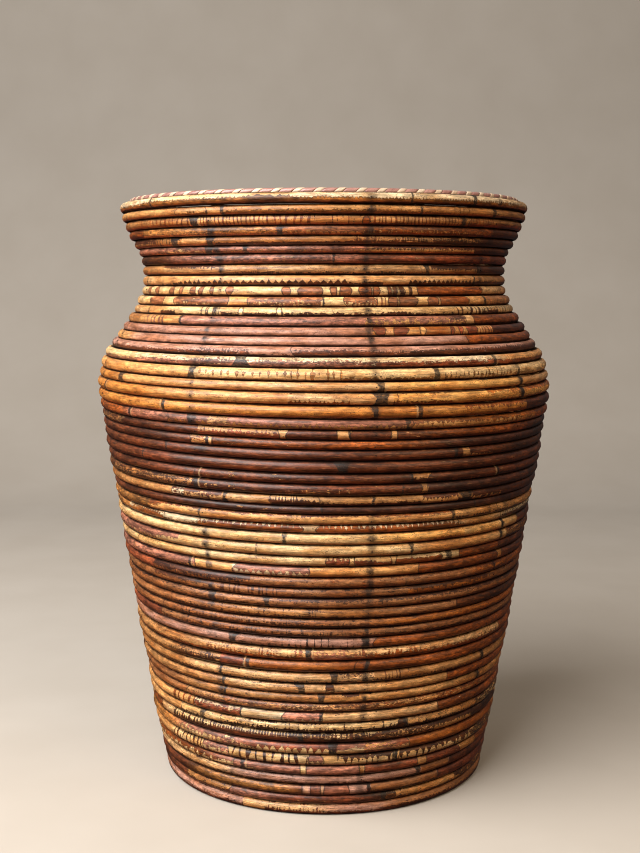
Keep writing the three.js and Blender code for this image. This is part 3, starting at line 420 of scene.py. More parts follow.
# ---------------------------------------------------------------------------
# Meshes
# ---------------------------------------------------------------------------
SIDES = 12
PSI = np.arange(SIDES) / SIDES * 2 * np.pi


def smooth_noise(x, seed, cells=512):
    r = np.random.RandomState(seed).uniform(-1, 1, cells)
    k = np.floor(x).astype(int)
    t = x - k
    t = t * t * (3 - 2 * t)
    return r[k % cells] * (1 - t) + r[(k + 1) % cells] * t


def make_mesh(name, verts, faces, attrs=None, uv=None, smooth=True, sharp=None):
    me = bpy.data.meshes.new(name)
    me.from_pydata([tuple(v) for v in np.asarray(verts, float) * MM], [], faces)
    me.validate(clean_customdata=False)
    for key, (kind, data) in (attrs or {}).items():
        a = me.attributes.new(key, kind, "POINT")
        field = {"FLOAT": "value", "FLOAT_VECTOR": "vector", "FLOAT_COLOR": "color"}[kind]
        a.data.foreach_set(field, np.ascontiguousarray(data, np.float32).ravel())
    if uv is not None:
        layer = me.uv_layers.new(name="OFBake")
        layer.data.foreach_set("uv", np.ascontiguousarray(uv, np.float32).ravel())
    flags = np.full(len(me.polygons), smooth)
    if sharp:
        flags[list(sharp)] = False
    me.polygons.foreach_set("use_smooth", flags)
    me.update()
    ob = bpy.data.objects.new(name, me)
    bpy.context.collection.objects.link(ob)
    return ob


def strip_uv(faces, stations, arc, girth, sides):
    """Lays a long tube out as stacked strips that fill one square evenly."""
    length = arc[-1] - arc[0]
    rows = max(1, int(round(math.sqrt(length / (girth * 1.16)))))
    while rows * girth * 1.16 < length / rows * 0.93:
        rows += 1
    row_len = length / rows
    side = max(rows * girth * 1.16, row_len * 1.012)
    place = np.minimum(((arc[:-1] + np.diff(arc) / 2 - arc[0]) / row_len).astype(int), rows - 1)
    first = np.array([arc[np.argmax(place == k)] if (place == k).any() else 0 for k in range(rows)])
    uv = []
    for f in range((stations - 1) * sides):
        i, j = divmod(f, sides)
        row = place[i]
        base = (row + 0.08) * girth * 1.16
        u0, u1 = arc[i] - first[row], arc[i + 1] - first[row]
        v0, v1 = base + girth * j / sides, base + girth * (j + 1) / sides
        m = 0.004 * side
        uv += [((u0 + m) / side, v0 / side), ((u0 + m) / side, v1 / side),
               ((u1 + m) / side, v1 / side), ((u1 + m) / side, v0 / side)]
    return uv, side


def sweep_cane(name, angle, state, course_pos, arc0, closed_ends=True, wobble=True):
    """A round cane through the given stations, with its look written on it."""
    n = len(angle)
    th = np.radians(angle)
    r, z, tilt, h, lean = state.T
    seed = int(arc0) % 997
    if wobble:
        lift = np.interp(course_pos, np.arange(N), PROUD)
        r = r + lift + 0.25 * smooth_noise(angle / 23.0 + seed * 3.1, 5) + 0.30 * smooth_noise(angle / 61.0 + np.round(course_pos) * 3.7, 6)
        z = z + 0.14 * smooth_noise(angle / 31.0 + course_pos * 0.21, 7) + 0.10 * smooth_noise(angle / 17.0 + np.round(course_pos) * 7.1, 8)
    cx, cy = r * np.sin(th), -r * np.cos(th)
    centre = np.stack([cx, cy, z - lean * cx], 1)
    nvec = np.stack([np.cos(tilt) * np.sin(th), -np.cos(tilt) * np.cos(th), -np.sin(tilt)], 1)
    tvec = np.stack([np.sin(tilt) * np.sin(th), -np.sin(tilt) * np.cos(th), np.cos(tilt)], 1)
    arc = arc0 + np.concatenate([[0], np.cumsum(np.linalg.norm(np.diff(centre, axis=0), axis=1))])

    # look, vertex by vertex: the ends of each stretch slant and curve
    up, out = np.sin(PSI), np.cos(PSI)
    low = np.clip(np.floor(course_pos), 0, LAST).astype(int)
    frac = course_pos - low
    high = np.minimum(low + 1, LAST)
    pick = np.where(frac < 0.5, low, high)
    peel = np.zeros((n, SIDES)); saw = np.zeros((n, SIDES)); gam = np.ones((n, SIDES))
    bars = np.zeros((n, SIDES)); fine = np.zeros((n, SIDES)); phase = np.zeros(n)
    skin = np.zeros((n, 3)); flesh = np.zeros((n, 3))
    end_s = np.zeros((n, SIDES)); end_on = np.zeros(n)      # distance into the skin from its cut end
    ph = 0.0
    for k in range(n):
        c = pick[k] + 1
        mid = look_at(c, angle[k])
        edge = soft_edge(c, angle[k], mid)
        ends = ENDS[c]
        near = ends[np.argmin(np.abs(ends[:, 0] - home(angle[k])))]
        gap = home(angle[k]) - near[0]
        shift = near[2] * up - near[1] * near[3] * up ** 2 if abs(gap) < 3 else 0 * up
        end_s[k] = np.clip(near[1] * (gap + shift) * np.pi / 180 * r[k], -4, 4)
        end_on[k] = abs(gap) < 2.2
        for j in range(SIDES):
            style = look_at(c, angle[k] + shift[j])
            peel[k, j] = peel_of(style, edge if style is mid else style[1], up[j])
            saw[k, j], bars[k, j], fine[k, j], gam[k, j] = style[2], style[4], style[5], style[6]
        if k:
            ph += (arc[k] - arc[k - 1]) / mid[3]
        phase[k] = ph
        f = frac[k]
        (sa, fa), (sb, fb) = (eased_colours(m + 1, angle[k], mid[0]) for m in (low[k], high[k]))
        flesh[k] = fa * (1 - f) * TONE[low[k]] + fb * f * TONE[high[k]]
        skin[k] = sa * (1 - f) * TONE[low[k]] + sb * f * TONE[high[k]] if mid[0] != "G" else flesh[k] * .94

    # nodes: distance to the nearest one, and the pale brow beside some
    node_a = np.full((n, SIDES), 20.0); brow_d = np.zeros((n, SIDES)); brow = np.zeros(n)
    node_w = np.zeros(n); swell = np.zeros(n)
    for c in range(max(0, int(course_pos.min() - .5)), min(LAST, int(course_pos.max() + 1)) + 1):
        on = pick == c
        for at, width, side in LOOK[c + 1][4]:
            sl, cv, wedge = np.random.RandomState(int(abs(at) * 10) + c * 977).uniform(-1, 1, 3)
            for turn in (-360, 0, 360):
                d = (angle - at - turn) * np.pi / 180 * r
                near = on & (np.abs(d) < 12)
                if not near.any():
                    continue
                D = d[:, None] + sl * .8 * up[None, :] + cv * 1.0 * (up[None, :] ** 2 - .4)
                A = np.abs(D) + width * (wedge * .35 * up[None, :] - .55 * (up[None, :] ** 2 - .35))
                closer = near[:, None] & (A < node_a)
                node_a = np.where(closer, A, node_a)
                brow_d = np.where(closer, D * side, brow_d)
                node_w[near] = width
                brow[near & (np.abs(d) < 8)] = abs(side)
                swell = np.maximum(swell, np.where(near, np.exp(-(d / (1.6 + width * .6)) ** 2), 0))
    # iron stain round each nail
    blot = np.full((n, SIDES), 4.0); stain = np.zeros(n)
    for k_rib, at in enumerate(RIB_ANGLES):
        d = ((angle - at + 180) % 360 - 180) * np.pi / 180 * r
        near = np.abs(d) < 12
        for k in np.where(near)[0]:
            q = np.random.RandomState(pick[k] * 31 + k_rib).uniform(0, 1, 4)
            b_ = np.hypot((d[k] + (q[0] - .5) * 2.0) / (2.4 + 2.4 * q[1]), (up - (.35 * q[2] - .05)) / (.8 + .8 * q[3]))
            blot[k] = np.minimum(b_, 4.0)
            stain[k] = STAIN[pick[k]][k_rib]

    radius = h / 2 * (1.006 + 0.035 * swell + 0.012 * smooth_noise(arc / 37.0, 11))
    ring = (centre[:, None, :]
            + radius[:, None, None] * (out[None, :, None] * nvec[:, None, :] + up[None, :, None] * tvec[:, None, :]))
    verts = ring.reshape(-1, 3)
    faces = []
    for i in range(n - 1):
        a, b = i * SIDES, (i + 1) * SIDES
        for j in range(SIDES):
            k = (j + 1) % SIDES
            faces.append((a + j, a + k, b + k, b + j))
    girth = float(np.pi * np.mean(h))
    uv, side = strip_uv(faces, n, arc, girth, SIDES)
    # cut ends, slightly eased
    sharp = []
    extra = []
    caps = []
    for end, sign in ((0, -1), (n - 1, 1)):
        along = np.array([np.cos(th[end]), np.sin(th[end]), 0.0]) * sign
        base = len(verts) + len(extra)
        rim = centre[end] + (ring[end] - centre[end]) * 0.86 + along * min(0.12, radius[end] * .1)
        extra += [p for p in rim] + [centre[end] + along * min(0.12, radius[end] * .1)]
        row = end * SIDES
        caps.append((end, base, row, sign))
    verts = np.concatenate([verts, np.array(extra)])
    for end, base, row, sign in caps:
        for j in range(SIDES):
            k = (j + 1) % SIDES
            quad = (row + j, base + j, base + k, row + k) if sign > 0 else (row + k, base + k, base + j, row + j)
            tri = (base + j, base + SIDES, base + k) if sign > 0 else (base + k, base + SIDES, base + j)
            for face in (quad, tri):
                sharp.append(len(faces))
                faces.append(face)
                q = 0.993 + 0.0 * j
                ang = 2 * np.pi * j / SIDES
                for m_, _ in enumerate(face):
                    aa = ang + m_ * 0.2
                    uv.append((0.992 + 0.004 * math.cos(aa), (0.975 if sign > 0 else 0.992) + 0.004 * math.sin(aa)))

    def spread(x):
        body = np.repeat(np.asarray(x, float), SIDES, axis=0)
        tail_ = np.repeat(np.asarray(x, float)[[0, -1]], SIDES + 1, axis=0)
        return np.concatenate([body, tail_])

    def around(x):
        cap = np.concatenate([x, [0.0]])
        return np.concatenate([np.tile(x, n), cap, cap])

    lay = np.concatenate([
        np.stack([np.repeat(arc, SIDES), (radius[:, None] * out).ravel(), (radius[:, None] * up).ravel()], 1),
        np.stack([np.repeat(arc[[0, -1]] + [-.5, .5], SIDES + 1),
                  np.tile(np.concatenate([out * 3.4, [0]]), 2), np.tile(np.concatenate([up * 3.4, [0]]), 2)], 1)])
    def each(x, cap=None):
        x = np.asarray(x, float)
        ends = [np.append(x[i], x[i].mean()) if cap is None else np.full(SIDES + 1, cap) for i in (0, -1)]
        return np.concatenate([x.ravel(), *ends])

    ones = np.ones((n * SIDES + 2 * SIDES + 2, 1))
    attrs = {
        "lay": ("FLOAT_VECTOR", lay), "peel": ("FLOAT", each(peel, -1.0)), "saw": ("FLOAT", each(saw, 0.0)),
        "phase": ("FLOAT", spread(phase)), "gam": ("FLOAT", each(gam, 1.0)),
        "end_s": ("FLOAT", each(end_s)), "end_on": ("FLOAT", spread(end_on)), "bars": ("FLOAT", each(bars, 0.0)), "fine": ("FLOAT", each(fine)),
        "up": ("FLOAT", around(up)), "out": ("FLOAT", around(out)),
        "sky": ("FLOAT", each(-np.sin(tilt)[:, None] * out + np.cos(tilt)[:, None] * up)),
        "node_a": ("FLOAT", each(node_a)), "node_w": ("FLOAT", spread(node_w)),
        "brow": ("FLOAT", spread(brow)), "brow_d": ("FLOAT", each(brow_d)),
        "blot": ("FLOAT", each(blot)), "stain": ("FLOAT", spread(stain)),
        "skin": ("FLOAT_COLOR", np.concatenate([spread(skin), ones], 1)),
        "flesh": ("FLOAT_COLOR", np.concatenate([spread(flesh), ones], 1)),
    }
    return make_mesh(name, verts, faces, attrs, uv, True, sharp), arc[-1]


def stations_between(g0, g1):
    """Angles of a cane, with extra stations at its nodes and where its look changes. g counts turns."""
    step = 2.6 / 360
    base = np.arange(g0, g1, step)
    more = []
    for turn in range(int(math.floor(g0)) - 1, int(math.ceil(g1)) + 1):
        for at in RIB_ANGLES:
            more += [turn + (at - TURN0 + d) / 360 for d in (-1.7, -1.0, -.45, 0, .45, 1.0, 1.7)]
        for n in (turn + 1, turn + 2):
            if not 1 <= n <= N:
                continue
            for stretch in LOOK[n][3]:
                for e in stretch[:2]:
                    for wrap in (0, 360, -360):
                        g = turn + (e + wrap - TURN0) / 360
                        if turn <= g < turn + 1:
                            more += [g + d / 360 for d in (-2.2, -1.3, -.8, -.4, -.12, .12, .4, .8, 1.3, 2.2)]
            for at, _, _ in LOOK[n][4]:
                for wrap in (0, 360, -360):
                    g = turn + (at + wrap - TURN0) / 360
                    if turn <= g < turn + 1:
                        more += [g + d / 360 for d in (-2.2, -1.3, -.8, -.4, 0, .4, .8, 1.3, 2.2)]
    g = np.concatenate([base, [x for x in more if g0 < x < g1], [g0, g1]])
    g = np.unique(np.round(g, 7))
    keep = np.concatenate([[True], np.diff(g) > 0.12 / 360])
    g = g[keep]
    g[-1] = g1
    return g


made = []


def turn_of(course_index, rib_slot):
    """Run position of the rib_slot-th half bay in the turn that starts at a course."""
    half = []
    for k, a in enumerate(RIB_ANGLES):
        nxt = RIB_ANGLES[k + 1] if k + 1 < len(RIB_ANGLES) else RIB_ANGLES[0] + 360
        half += [a, (a + nxt) / 2]
    return course_index + (half[rib_slot] - TURN0) / 360


cuts = [turn_of(0, 13)] + [turn_of(3 * k, [14, 12, 16, 10][k % 4]) for k in range(1, CANES)] + [turn_of(LAST - 1, 15)]
# the first and the last cane are pared to a thin tip, which closes the slit beside the hoop
cuts[0] = (106.0 - TURN0) / 360
cuts[-1] = LAST - 1 + (237.0 - TURN0) / 360
arc_at = 1000.0
canes = []
for k in range(CANES):
    eps = 0.17 / 170 / (2 * np.pi)
    g = stations_between(cuts[k] + eps, cuts[k + 1] - eps)
    turn = np.floor(g + 1e-9).astype(int)
    ang = TURN0 + (g - turn) * 360
    st = run_states(turn, ang)
    pos = turn + step_at(ang)
    pos = np.where(turn < 1, 1.0, np.where(turn == LAST - 1, LAST - 1.0, pos))
    small = st[:, 3] < 1.2
    st[small, 3] = 1.2
    st[:, 3] += 0.20 * np.maximum(np.clip((ang - 72) / 18, 0, 1), np.clip((-58 - ang) / 14, 0, 1))   # no light between courses
    ob, end = sweep_cane(f"wall_cane_{k + 1:02d}_look", ang + 360.0 * 0, st, pos, arc_at)
    arc_at = end + 7.0
    canes.append((ob, f"wall_cane_{k + 1:02d}"))

for label, idx in (("top_hoop", 0), ("bottom_hoop", LAST)):
    eps = 0.17 / 150 / (2 * np.pi)
    g = stations_between(idx + eps, idx + 1 - eps)
    ang = TURN0 + (g - idx) * 360
    st = np.repeat(courses[idx][None, :], len(ang), axis=0)
    ob, end = sweep_cane(f"{label}_look", ang, st, np.full(len(ang), float(idx)), arc_at)
    arc_at = end + 7.0
    canes.append((ob, label))


# ---- ribs -------------------------------------------------------------------
def tube(name, path, radius, sides, seed, ovality=1.0):
    """Points of a path and their unit tangents; no bar is built from them."""
    path = np.asarray(path, float)
    n = len(path)
    tan = np.gradient(path, axis=0)
    tan /= np.linalg.norm(tan, axis=1)[:, None]
    return path, tan


def rib_mesh(name, angle, seed):
    zs = np.concatenate([np.linspace(1.2, 300, 60), np.linspace(303, 466, 56)])
    r, z = inset(zs, CANE_MEAN / 2 + RIB_BACKSET + RIB_R)
    r = np.append(r, r[-1] + 1.6)
    z = np.append(z, 476.6)
    arc = np.concatenate([[0], np.cumsum(np.hypot(np.diff(r), np.diff(z)))])
    n = len(r)
    dr, dz = np.gradient(r), np.gradient(z)
    ln = np.hypot(dr, dz)
    nr, nz = dz / ln, -dr / ln
    nr[0] = nr[-1] = 1.0
    nz[0] = nz[-1] = 0.0
    rnd = np.random.RandomState(seed)
    knots = np.cumsum(rnd.uniform(110, 210, 5))
    d = arc[:, None] - knots[None, :]
    near = d[np.arange(n), np.argmin(np.abs(d), axis=1)]
    rad = RIB_R * (1 + 0.045 * np.exp(-(near / 4.0) ** 2) + 0.015 * smooth_noise(arc / 40 + seed, 21))
    rad = np.minimum(rad, RIB_R * 1.04)
    S_ = 12
    ps = np.arange(S_) / S_ * 2 * np.pi
    a = math.radians(angle)
    o = np.array([math.sin(a), -math.cos(a)])
    s = np.array([math.cos(a), math.sin(a)])
    verts = []
    for i in range(n):
        for p in ps:
            q = r[i] + rad[i] * math.cos(p) * nr[i]
            w = rad[i] * math.sin(p)
            verts.append((q * o[0] + w * s[0], q * o[1] + w * s[1], z[i] + rad[i] * math.cos(p) * nz[i]))
    faces = []
    for i in range(n - 1):
        for j in range(S_):
            k = (j + 1) % S_
            faces.append((i * S_ + j, i * S_ + k, (i + 1) * S_ + k, (i + 1) * S_ + j))
    uv, _ = strip_uv(faces, n, arc, 2 * np.pi * RIB_R, S_)
    base = len(verts)
    verts += [(r[0] * o[0], r[0] * o[1], z[0]), (r[-1] * o[0], r[-1] * o[1], z[-1])]
    sharp = []
    for j in range(S_):
        k = (j + 1) % S_
        sharp += [len(faces), len(faces) + 1]
        faces.append((k, j, base))
        faces.append(((n - 1) * S_ + j, (n - 1) * S_ + k, base + 1))
        for q in (0.97, 0.99):
            uv += [(q, .99), (q + .004, .99), (q, .994)]
    lay = np.stack([np.repeat(arc, S_) + seed * 900, np.tile(np.cos(ps) * RIB_R, n), np.tile(np.sin(ps) * RIB_R, n)], 1)
    lay = np.concatenate([lay, [[seed * 900, 0, 0], [arc[-1] + seed * 900, 0, 0]]])
    nd = np.concatenate([np.repeat(near, S_), [20, 20]])
    attrs = {"lay": ("FLOAT_VECTOR", lay), "node_d": ("FLOAT", nd)}
    return make_mesh(name, verts, faces, attrs, uv, True, sharp)


ribs = []
for k, a in enumerate(RIB_ANGLES):
    ribs.append((rib_mesh(f"rib_{k + 1}_look", a, k + 3), f"rib_{k + 1}"))


# ---- turned rings with a rounded section ---------------------------------------
def ring_mesh(name, section, segments, attrs_seed=0):
    """A closed section (r, z) carried round the axis."""
    sec = np.asarray(section, float)
    m = len(sec)
    th = np.arange(segments) / segments * 2 * np.pi
    verts = np.stack([np.outer(np.sin(th), sec[:, 0]), -np.outer(np.cos(th), sec[:, 0]),
                      np.tile(sec[:, 1], (segments, 1))], 2).reshape(-1, 3)
    faces = []
    for i in range(segments):
        a, b = i * m, ((i + 1) % segments) * m
        for j in range(m):
            k = (j + 1) % m
            faces.append((a + j, a + k, b + k, b + j))
    mean = sec[:, 0].mean()
    arc = th * mean
    lay = np.stack([np.repeat(arc, m) + attrs_seed * 777, np.tile(sec[:, 0] - mean, segments),
                    np.tile(sec[:, 1] - sec[:, 1].mean(), segments)], 1)
    girth = float(np.sum(np.linalg.norm(np.diff(np.vstack([sec, sec[:1]]), axis=0), axis=1)))
    full = np.append(arc, 2 * np.pi * mean)
    uv, _ = strip_uv(faces, segments + 1, full, girth, m)
    d = np.abs(((np.repeat(arc, m) / 310.0 + 0.31 * attrs_seed) % 1.0) - 0.5) * 310.0
    return make_mesh(name, verts, faces, {"lay": ("FLOAT_VECTOR", lay), "node_d": ("FLOAT", d)}, uv)


def rounded(r0, r1, z0, z1, rad, per=4):
    pts = []
    for cx, cz, a0 in ((r1 - rad, z0 + rad, -90), (r1 - rad, z1 - rad, 0), (r0 + rad, z1 - rad, 90), (r0 + rad, z0 + rad, 180)):
        for k in range(per + 1):
            a = math.radians(a0 + 90 * k / per)
            pts.append((cx + rad * math.cos(a), cz + rad * math.sin(a)))
    return pts


rib_foot_r, _ = inset(1.2, CANE_MEAN / 2 + RIB_BACKSET + 4.7)
hoop_outer = float(rib_foot_r) * 1.006 - 4.7 - GAP
base_hoop = ring_mesh("base_hoop_look", rounded(hoop_outer - BASE_HOOP_WIDTH, hoop_outer, BASE_HOOP_Z, BASE_HOOP_Z + BASE_HOOP_HEIGHT, 4.2), 120, 5)
rim_core = ring_mesh("rim_core_look", rounded(RIM_CORE_R[0], RIM_CORE_R[1], RIM_CORE_Z[0], RIM_CORE_Z[1], 1.3), 160, 2)


# ---- base board ----------------------------------------------------------------
def board_mesh():
    z0 = BASE_HOOP_Z + BASE_HOOP_HEIGHT + GAP
    z1 = z0 + BASE_BOARD_THICK
    R = hoop_outer
    seg = 120
    prof = [(R - 0.6, z0), (R - 0.15, z0 + 0.2), (R, z0 + 0.7), (R, z1 - 0.7), (R - 0.15, z1 - 0.2), (R - 0.6, z1)]
    inner = [0.93, 0.8, 0.62, 0.42, 0.2]
    rings = [(R * f, z0) for f in reversed(inner)] + prof + [(R * f, z1) for f in inner]
    m = len(rings)
    th = np.arange(seg) / seg * 2 * np.pi
    verts = []
    for t in th:
        w = 1 + 0.0012 * math.sin(5 * t + .6) + 0.0008 * math.sin(11 * t)
        for r_, z_ in rings:
            verts.append((r_ * min(w, 1.0) * math.sin(t), -r_ * min(w, 1.0) * math.cos(t), z_))
    faces = []
    for i in range(seg):
        a, b = i * m, ((i + 1) % seg) * m
        for j in range(m - 1):
            faces.append((a + j, a + j + 1, b + j + 1, b + j))
    c0, c1 = len(verts), len(verts) + 1
    verts += [(0, 0, z0), (0, 0, z1)]
    for i in range(seg):
        a, b = i * m, ((i + 1) % seg) * m
        faces.append((a, b, c0))
        faces.append((b + m - 1, a + m - 1, c1))
    ob = make_mesh("base_board_look", verts, faces, None, None, True)
    return ob


base_board = board_mesh()


# ---- rim binding: two strips of cane peel wound round the core ---------------------
WRAPS = 66


def strip_mesh(name, offset, width, thick, seed):
    """One strip wound round the rim core at a slant. offset and width are along the rim."""
    r0, r1 = RIM_CORE_R
    z0, z1 = RIM_CORE_Z
    loop = np.array(rounded(r0 - 0.12, r1 + 0.12, z0 - 0.12, z1 + 0.12, 1.4, 4))
    seg = np.linalg.norm(np.diff(np.vstack([loop, loop[:1]]), axis=0), axis=1)
    # outward normals of the loop
    nxt, prv = np.roll(loop, -1, 0), np.roll(loop, 1, 0)
    t = nxt - prv
    t /= np.linalg.norm(t, axis=1)[:, None]
    nrm = np.stack([t[:, 1], -t[:, 0]], 1)
    m = len(loop)
    # the strip gains most of its lead on the outer face
    weight = np.array([1.9 if nrm[k, 0] > 0.25 else 0.62 for k in range(m)]) * seg
    lead = np.concatenate([[0], np.cumsum(weight)[:-1]]) / weight.sum()
    arcs = np.concatenate([[0], np.cumsum(seg)[:-1]])
    pitch = 360.0 / WRAPS
    cross = [(-.5, 0.0), (-.5, .62), (-.42, .92), (-.2, 1.0), (.2, 1.0), (.42, .92), (.5, .62), (.5, 0.0)]
    rnd = np.random.RandomState(seed)
    jig = rnd.uniform(-.35, .35, WRAPS + 2)
    verts, layc, tone = [], [], []
    mid_r = (r0 + r1) / 2
    for w in range(WRAPS):
        for k in range(m):
            f = lead[k]
            j = jig[w] * (1 - f) + jig[(w + 1) % WRAPS] * f
            for c, hgt in cross:
                along = offset + c * width + j
                ang = math.radians((w + f) * pitch) + along / mid_r
                rr = loop[k, 0] + nrm[k, 0] * thick * hgt
                zz = loop[k, 1] + nrm[k, 1] * thick * hgt
                verts.append((rr * math.sin(ang), -rr * math.cos(ang), zz))
                layc.append((w * 31.0 + arcs[k] + seed * 5000, c * width, hgt))
    q = len(cross)
    total_rows = WRAPS * m
    faces = []
    for i in range(total_rows):
        a, b = i * q, ((i + 1) % total_rows) * q
        for j in range(q):
            k = (j + 1) % q
            faces.append((a + j, a + k, b + k, b + j))
    arc = np.concatenate([[0], np.cumsum(np.tile(seg, WRAPS))])
    uv, _ = strip_uv(faces, total_rows + 1, arc, 2 * width + 3 * thick, q)
    ob = make_mesh(name, verts, faces, {"lay": ("FLOAT_VECTOR", np.array(layc))}, uv)
    return ob


wide_strip = strip_mesh("rim_binding_wide_strip", 0.0, 9.0, 0.75, 31)
thin_strip = strip_mesh("rim_binding_thin_strip", 7.5, 5.3, 0.85, 47)


# ---- brads --------------------------------------------------------------------------
def nail_heads():
    rnd = np.random.RandomState(77)
    verts, faces = [], []
    prof = [(0.0, .16), (.30, .13), (.50, .04), (.54, -.06), (.45, -.3), (.40, -1.6)]
    S_ = 8

    def add(base, axis):
        axis = np.asarray(axis, float)
        axis /= np.linalg.norm(axis)
        side = np.cross(axis, [0, 0, 1.0] if abs(axis[2]) < .9 else [1.0, 0, 0])
        side /= np.linalg.norm(side)
        other = np.cross(axis, side)
        top = len(verts)
        verts.append(tuple(base + axis * prof[0][1]))
        for rr, hh in prof[1:]:
            for k in range(S_):
                a = 2 * math.pi * k / S_
                verts.append(tuple(base + axis * hh + (side * math.cos(a) + other * math.sin(a)) * rr))
        for k in range(S_):
            faces.append((top, top + 1 + k, top + 1 + (k + 1) % S_))
        for ring_i in range(len(prof) - 2):
            a0 = top + 1 + ring_i * S_
            for k in range(S_):
                faces.append((a0 + k, a0 + S_ + k, a0 + S_ + (k + 1) % S_, a0 + (k + 1) % S_))
        a0 = top + 1 + (len(prof) - 2) * S_
        faces.append(tuple(a0 + k for k in reversed(range(S_))))

    for n in range(N):
        for at in RIB_ANGLES:
            ang = at + rnd.uniform(-.35, .35)
            if n in (0, LAST):
                st = courses[n]
            else:
                st = run_states(np.array([n]), np.array([float(ang if ang >= TURN0 else ang + 360)]))[0]
            if st[3] < 3.0:
                continue
            r, z, tilt, h, lean = st
            psi = math.radians(rnd.uniform(-14, 24))
            th = math.radians(ang)
            c, s = math.cos(tilt), math.sin(tilt)
            nr, nz = math.cos(psi) * c + math.sin(psi) * s, -math.cos(psi) * s + math.sin(psi) * c
            rr = r + nr * (h / 2 - .05)
            zz = z + nz * (h / 2 - .05)
            x = rr * math.sin(th)
            add(np.array([x, -rr * math.cos(th), zz - lean * x]), (nr * math.sin(th), -nr * math.cos(th), nz))
    return make_mesh("wall_brads", verts, faces)


brads = nail_heads()


def board_nails():
    z1 = BASE_HOOP_Z + BASE_HOOP_HEIGHT + GAP + BASE_BOARD_THICK
    verts, faces = [], []
    S_ = 10
    for k in range(12):
        a = 2 * math.pi * (k + .3) / 12
        c = np.array([(hoop_outer - 4.6) * math.sin(a), -(hoop_outer - 4.6) * math.cos(a), z1])
        prof = [(0, .35), (1.0, .3), (1.5, .12), (1.55, -.1), (.8, -.3), (.7, -4.0)]
        top = len(verts)
        verts.append(tuple(c + [0, 0, prof[0][1]]))
        for rr, hh in prof[1:]:
            for j in range(S_):
                b = 2 * math.pi * j / S_
                verts.append((c[0] + rr * math.cos(b), c[1] + rr * math.sin(b), c[2] + hh))
        for j in range(S_):
            faces.append((top, top + 1 + j, top + 1 + (j + 1) % S_))
        for ring_i in range(len(prof) - 2):
            a0 = top + 1 + ring_i * S_
            for j in range(S_):
                faces.append((a0 + j, a0 + S_ + j, a0 + S_ + (j + 1) % S_, a0 + (j + 1) % S_))
        a0 = top + 1 + (len(prof) - 2) * S_
        faces.append(tuple(a0 + j for j in reversed(range(S_))))
    return make_mesh("base_board_nails", verts, faces)


nails_in_board = board_nails()


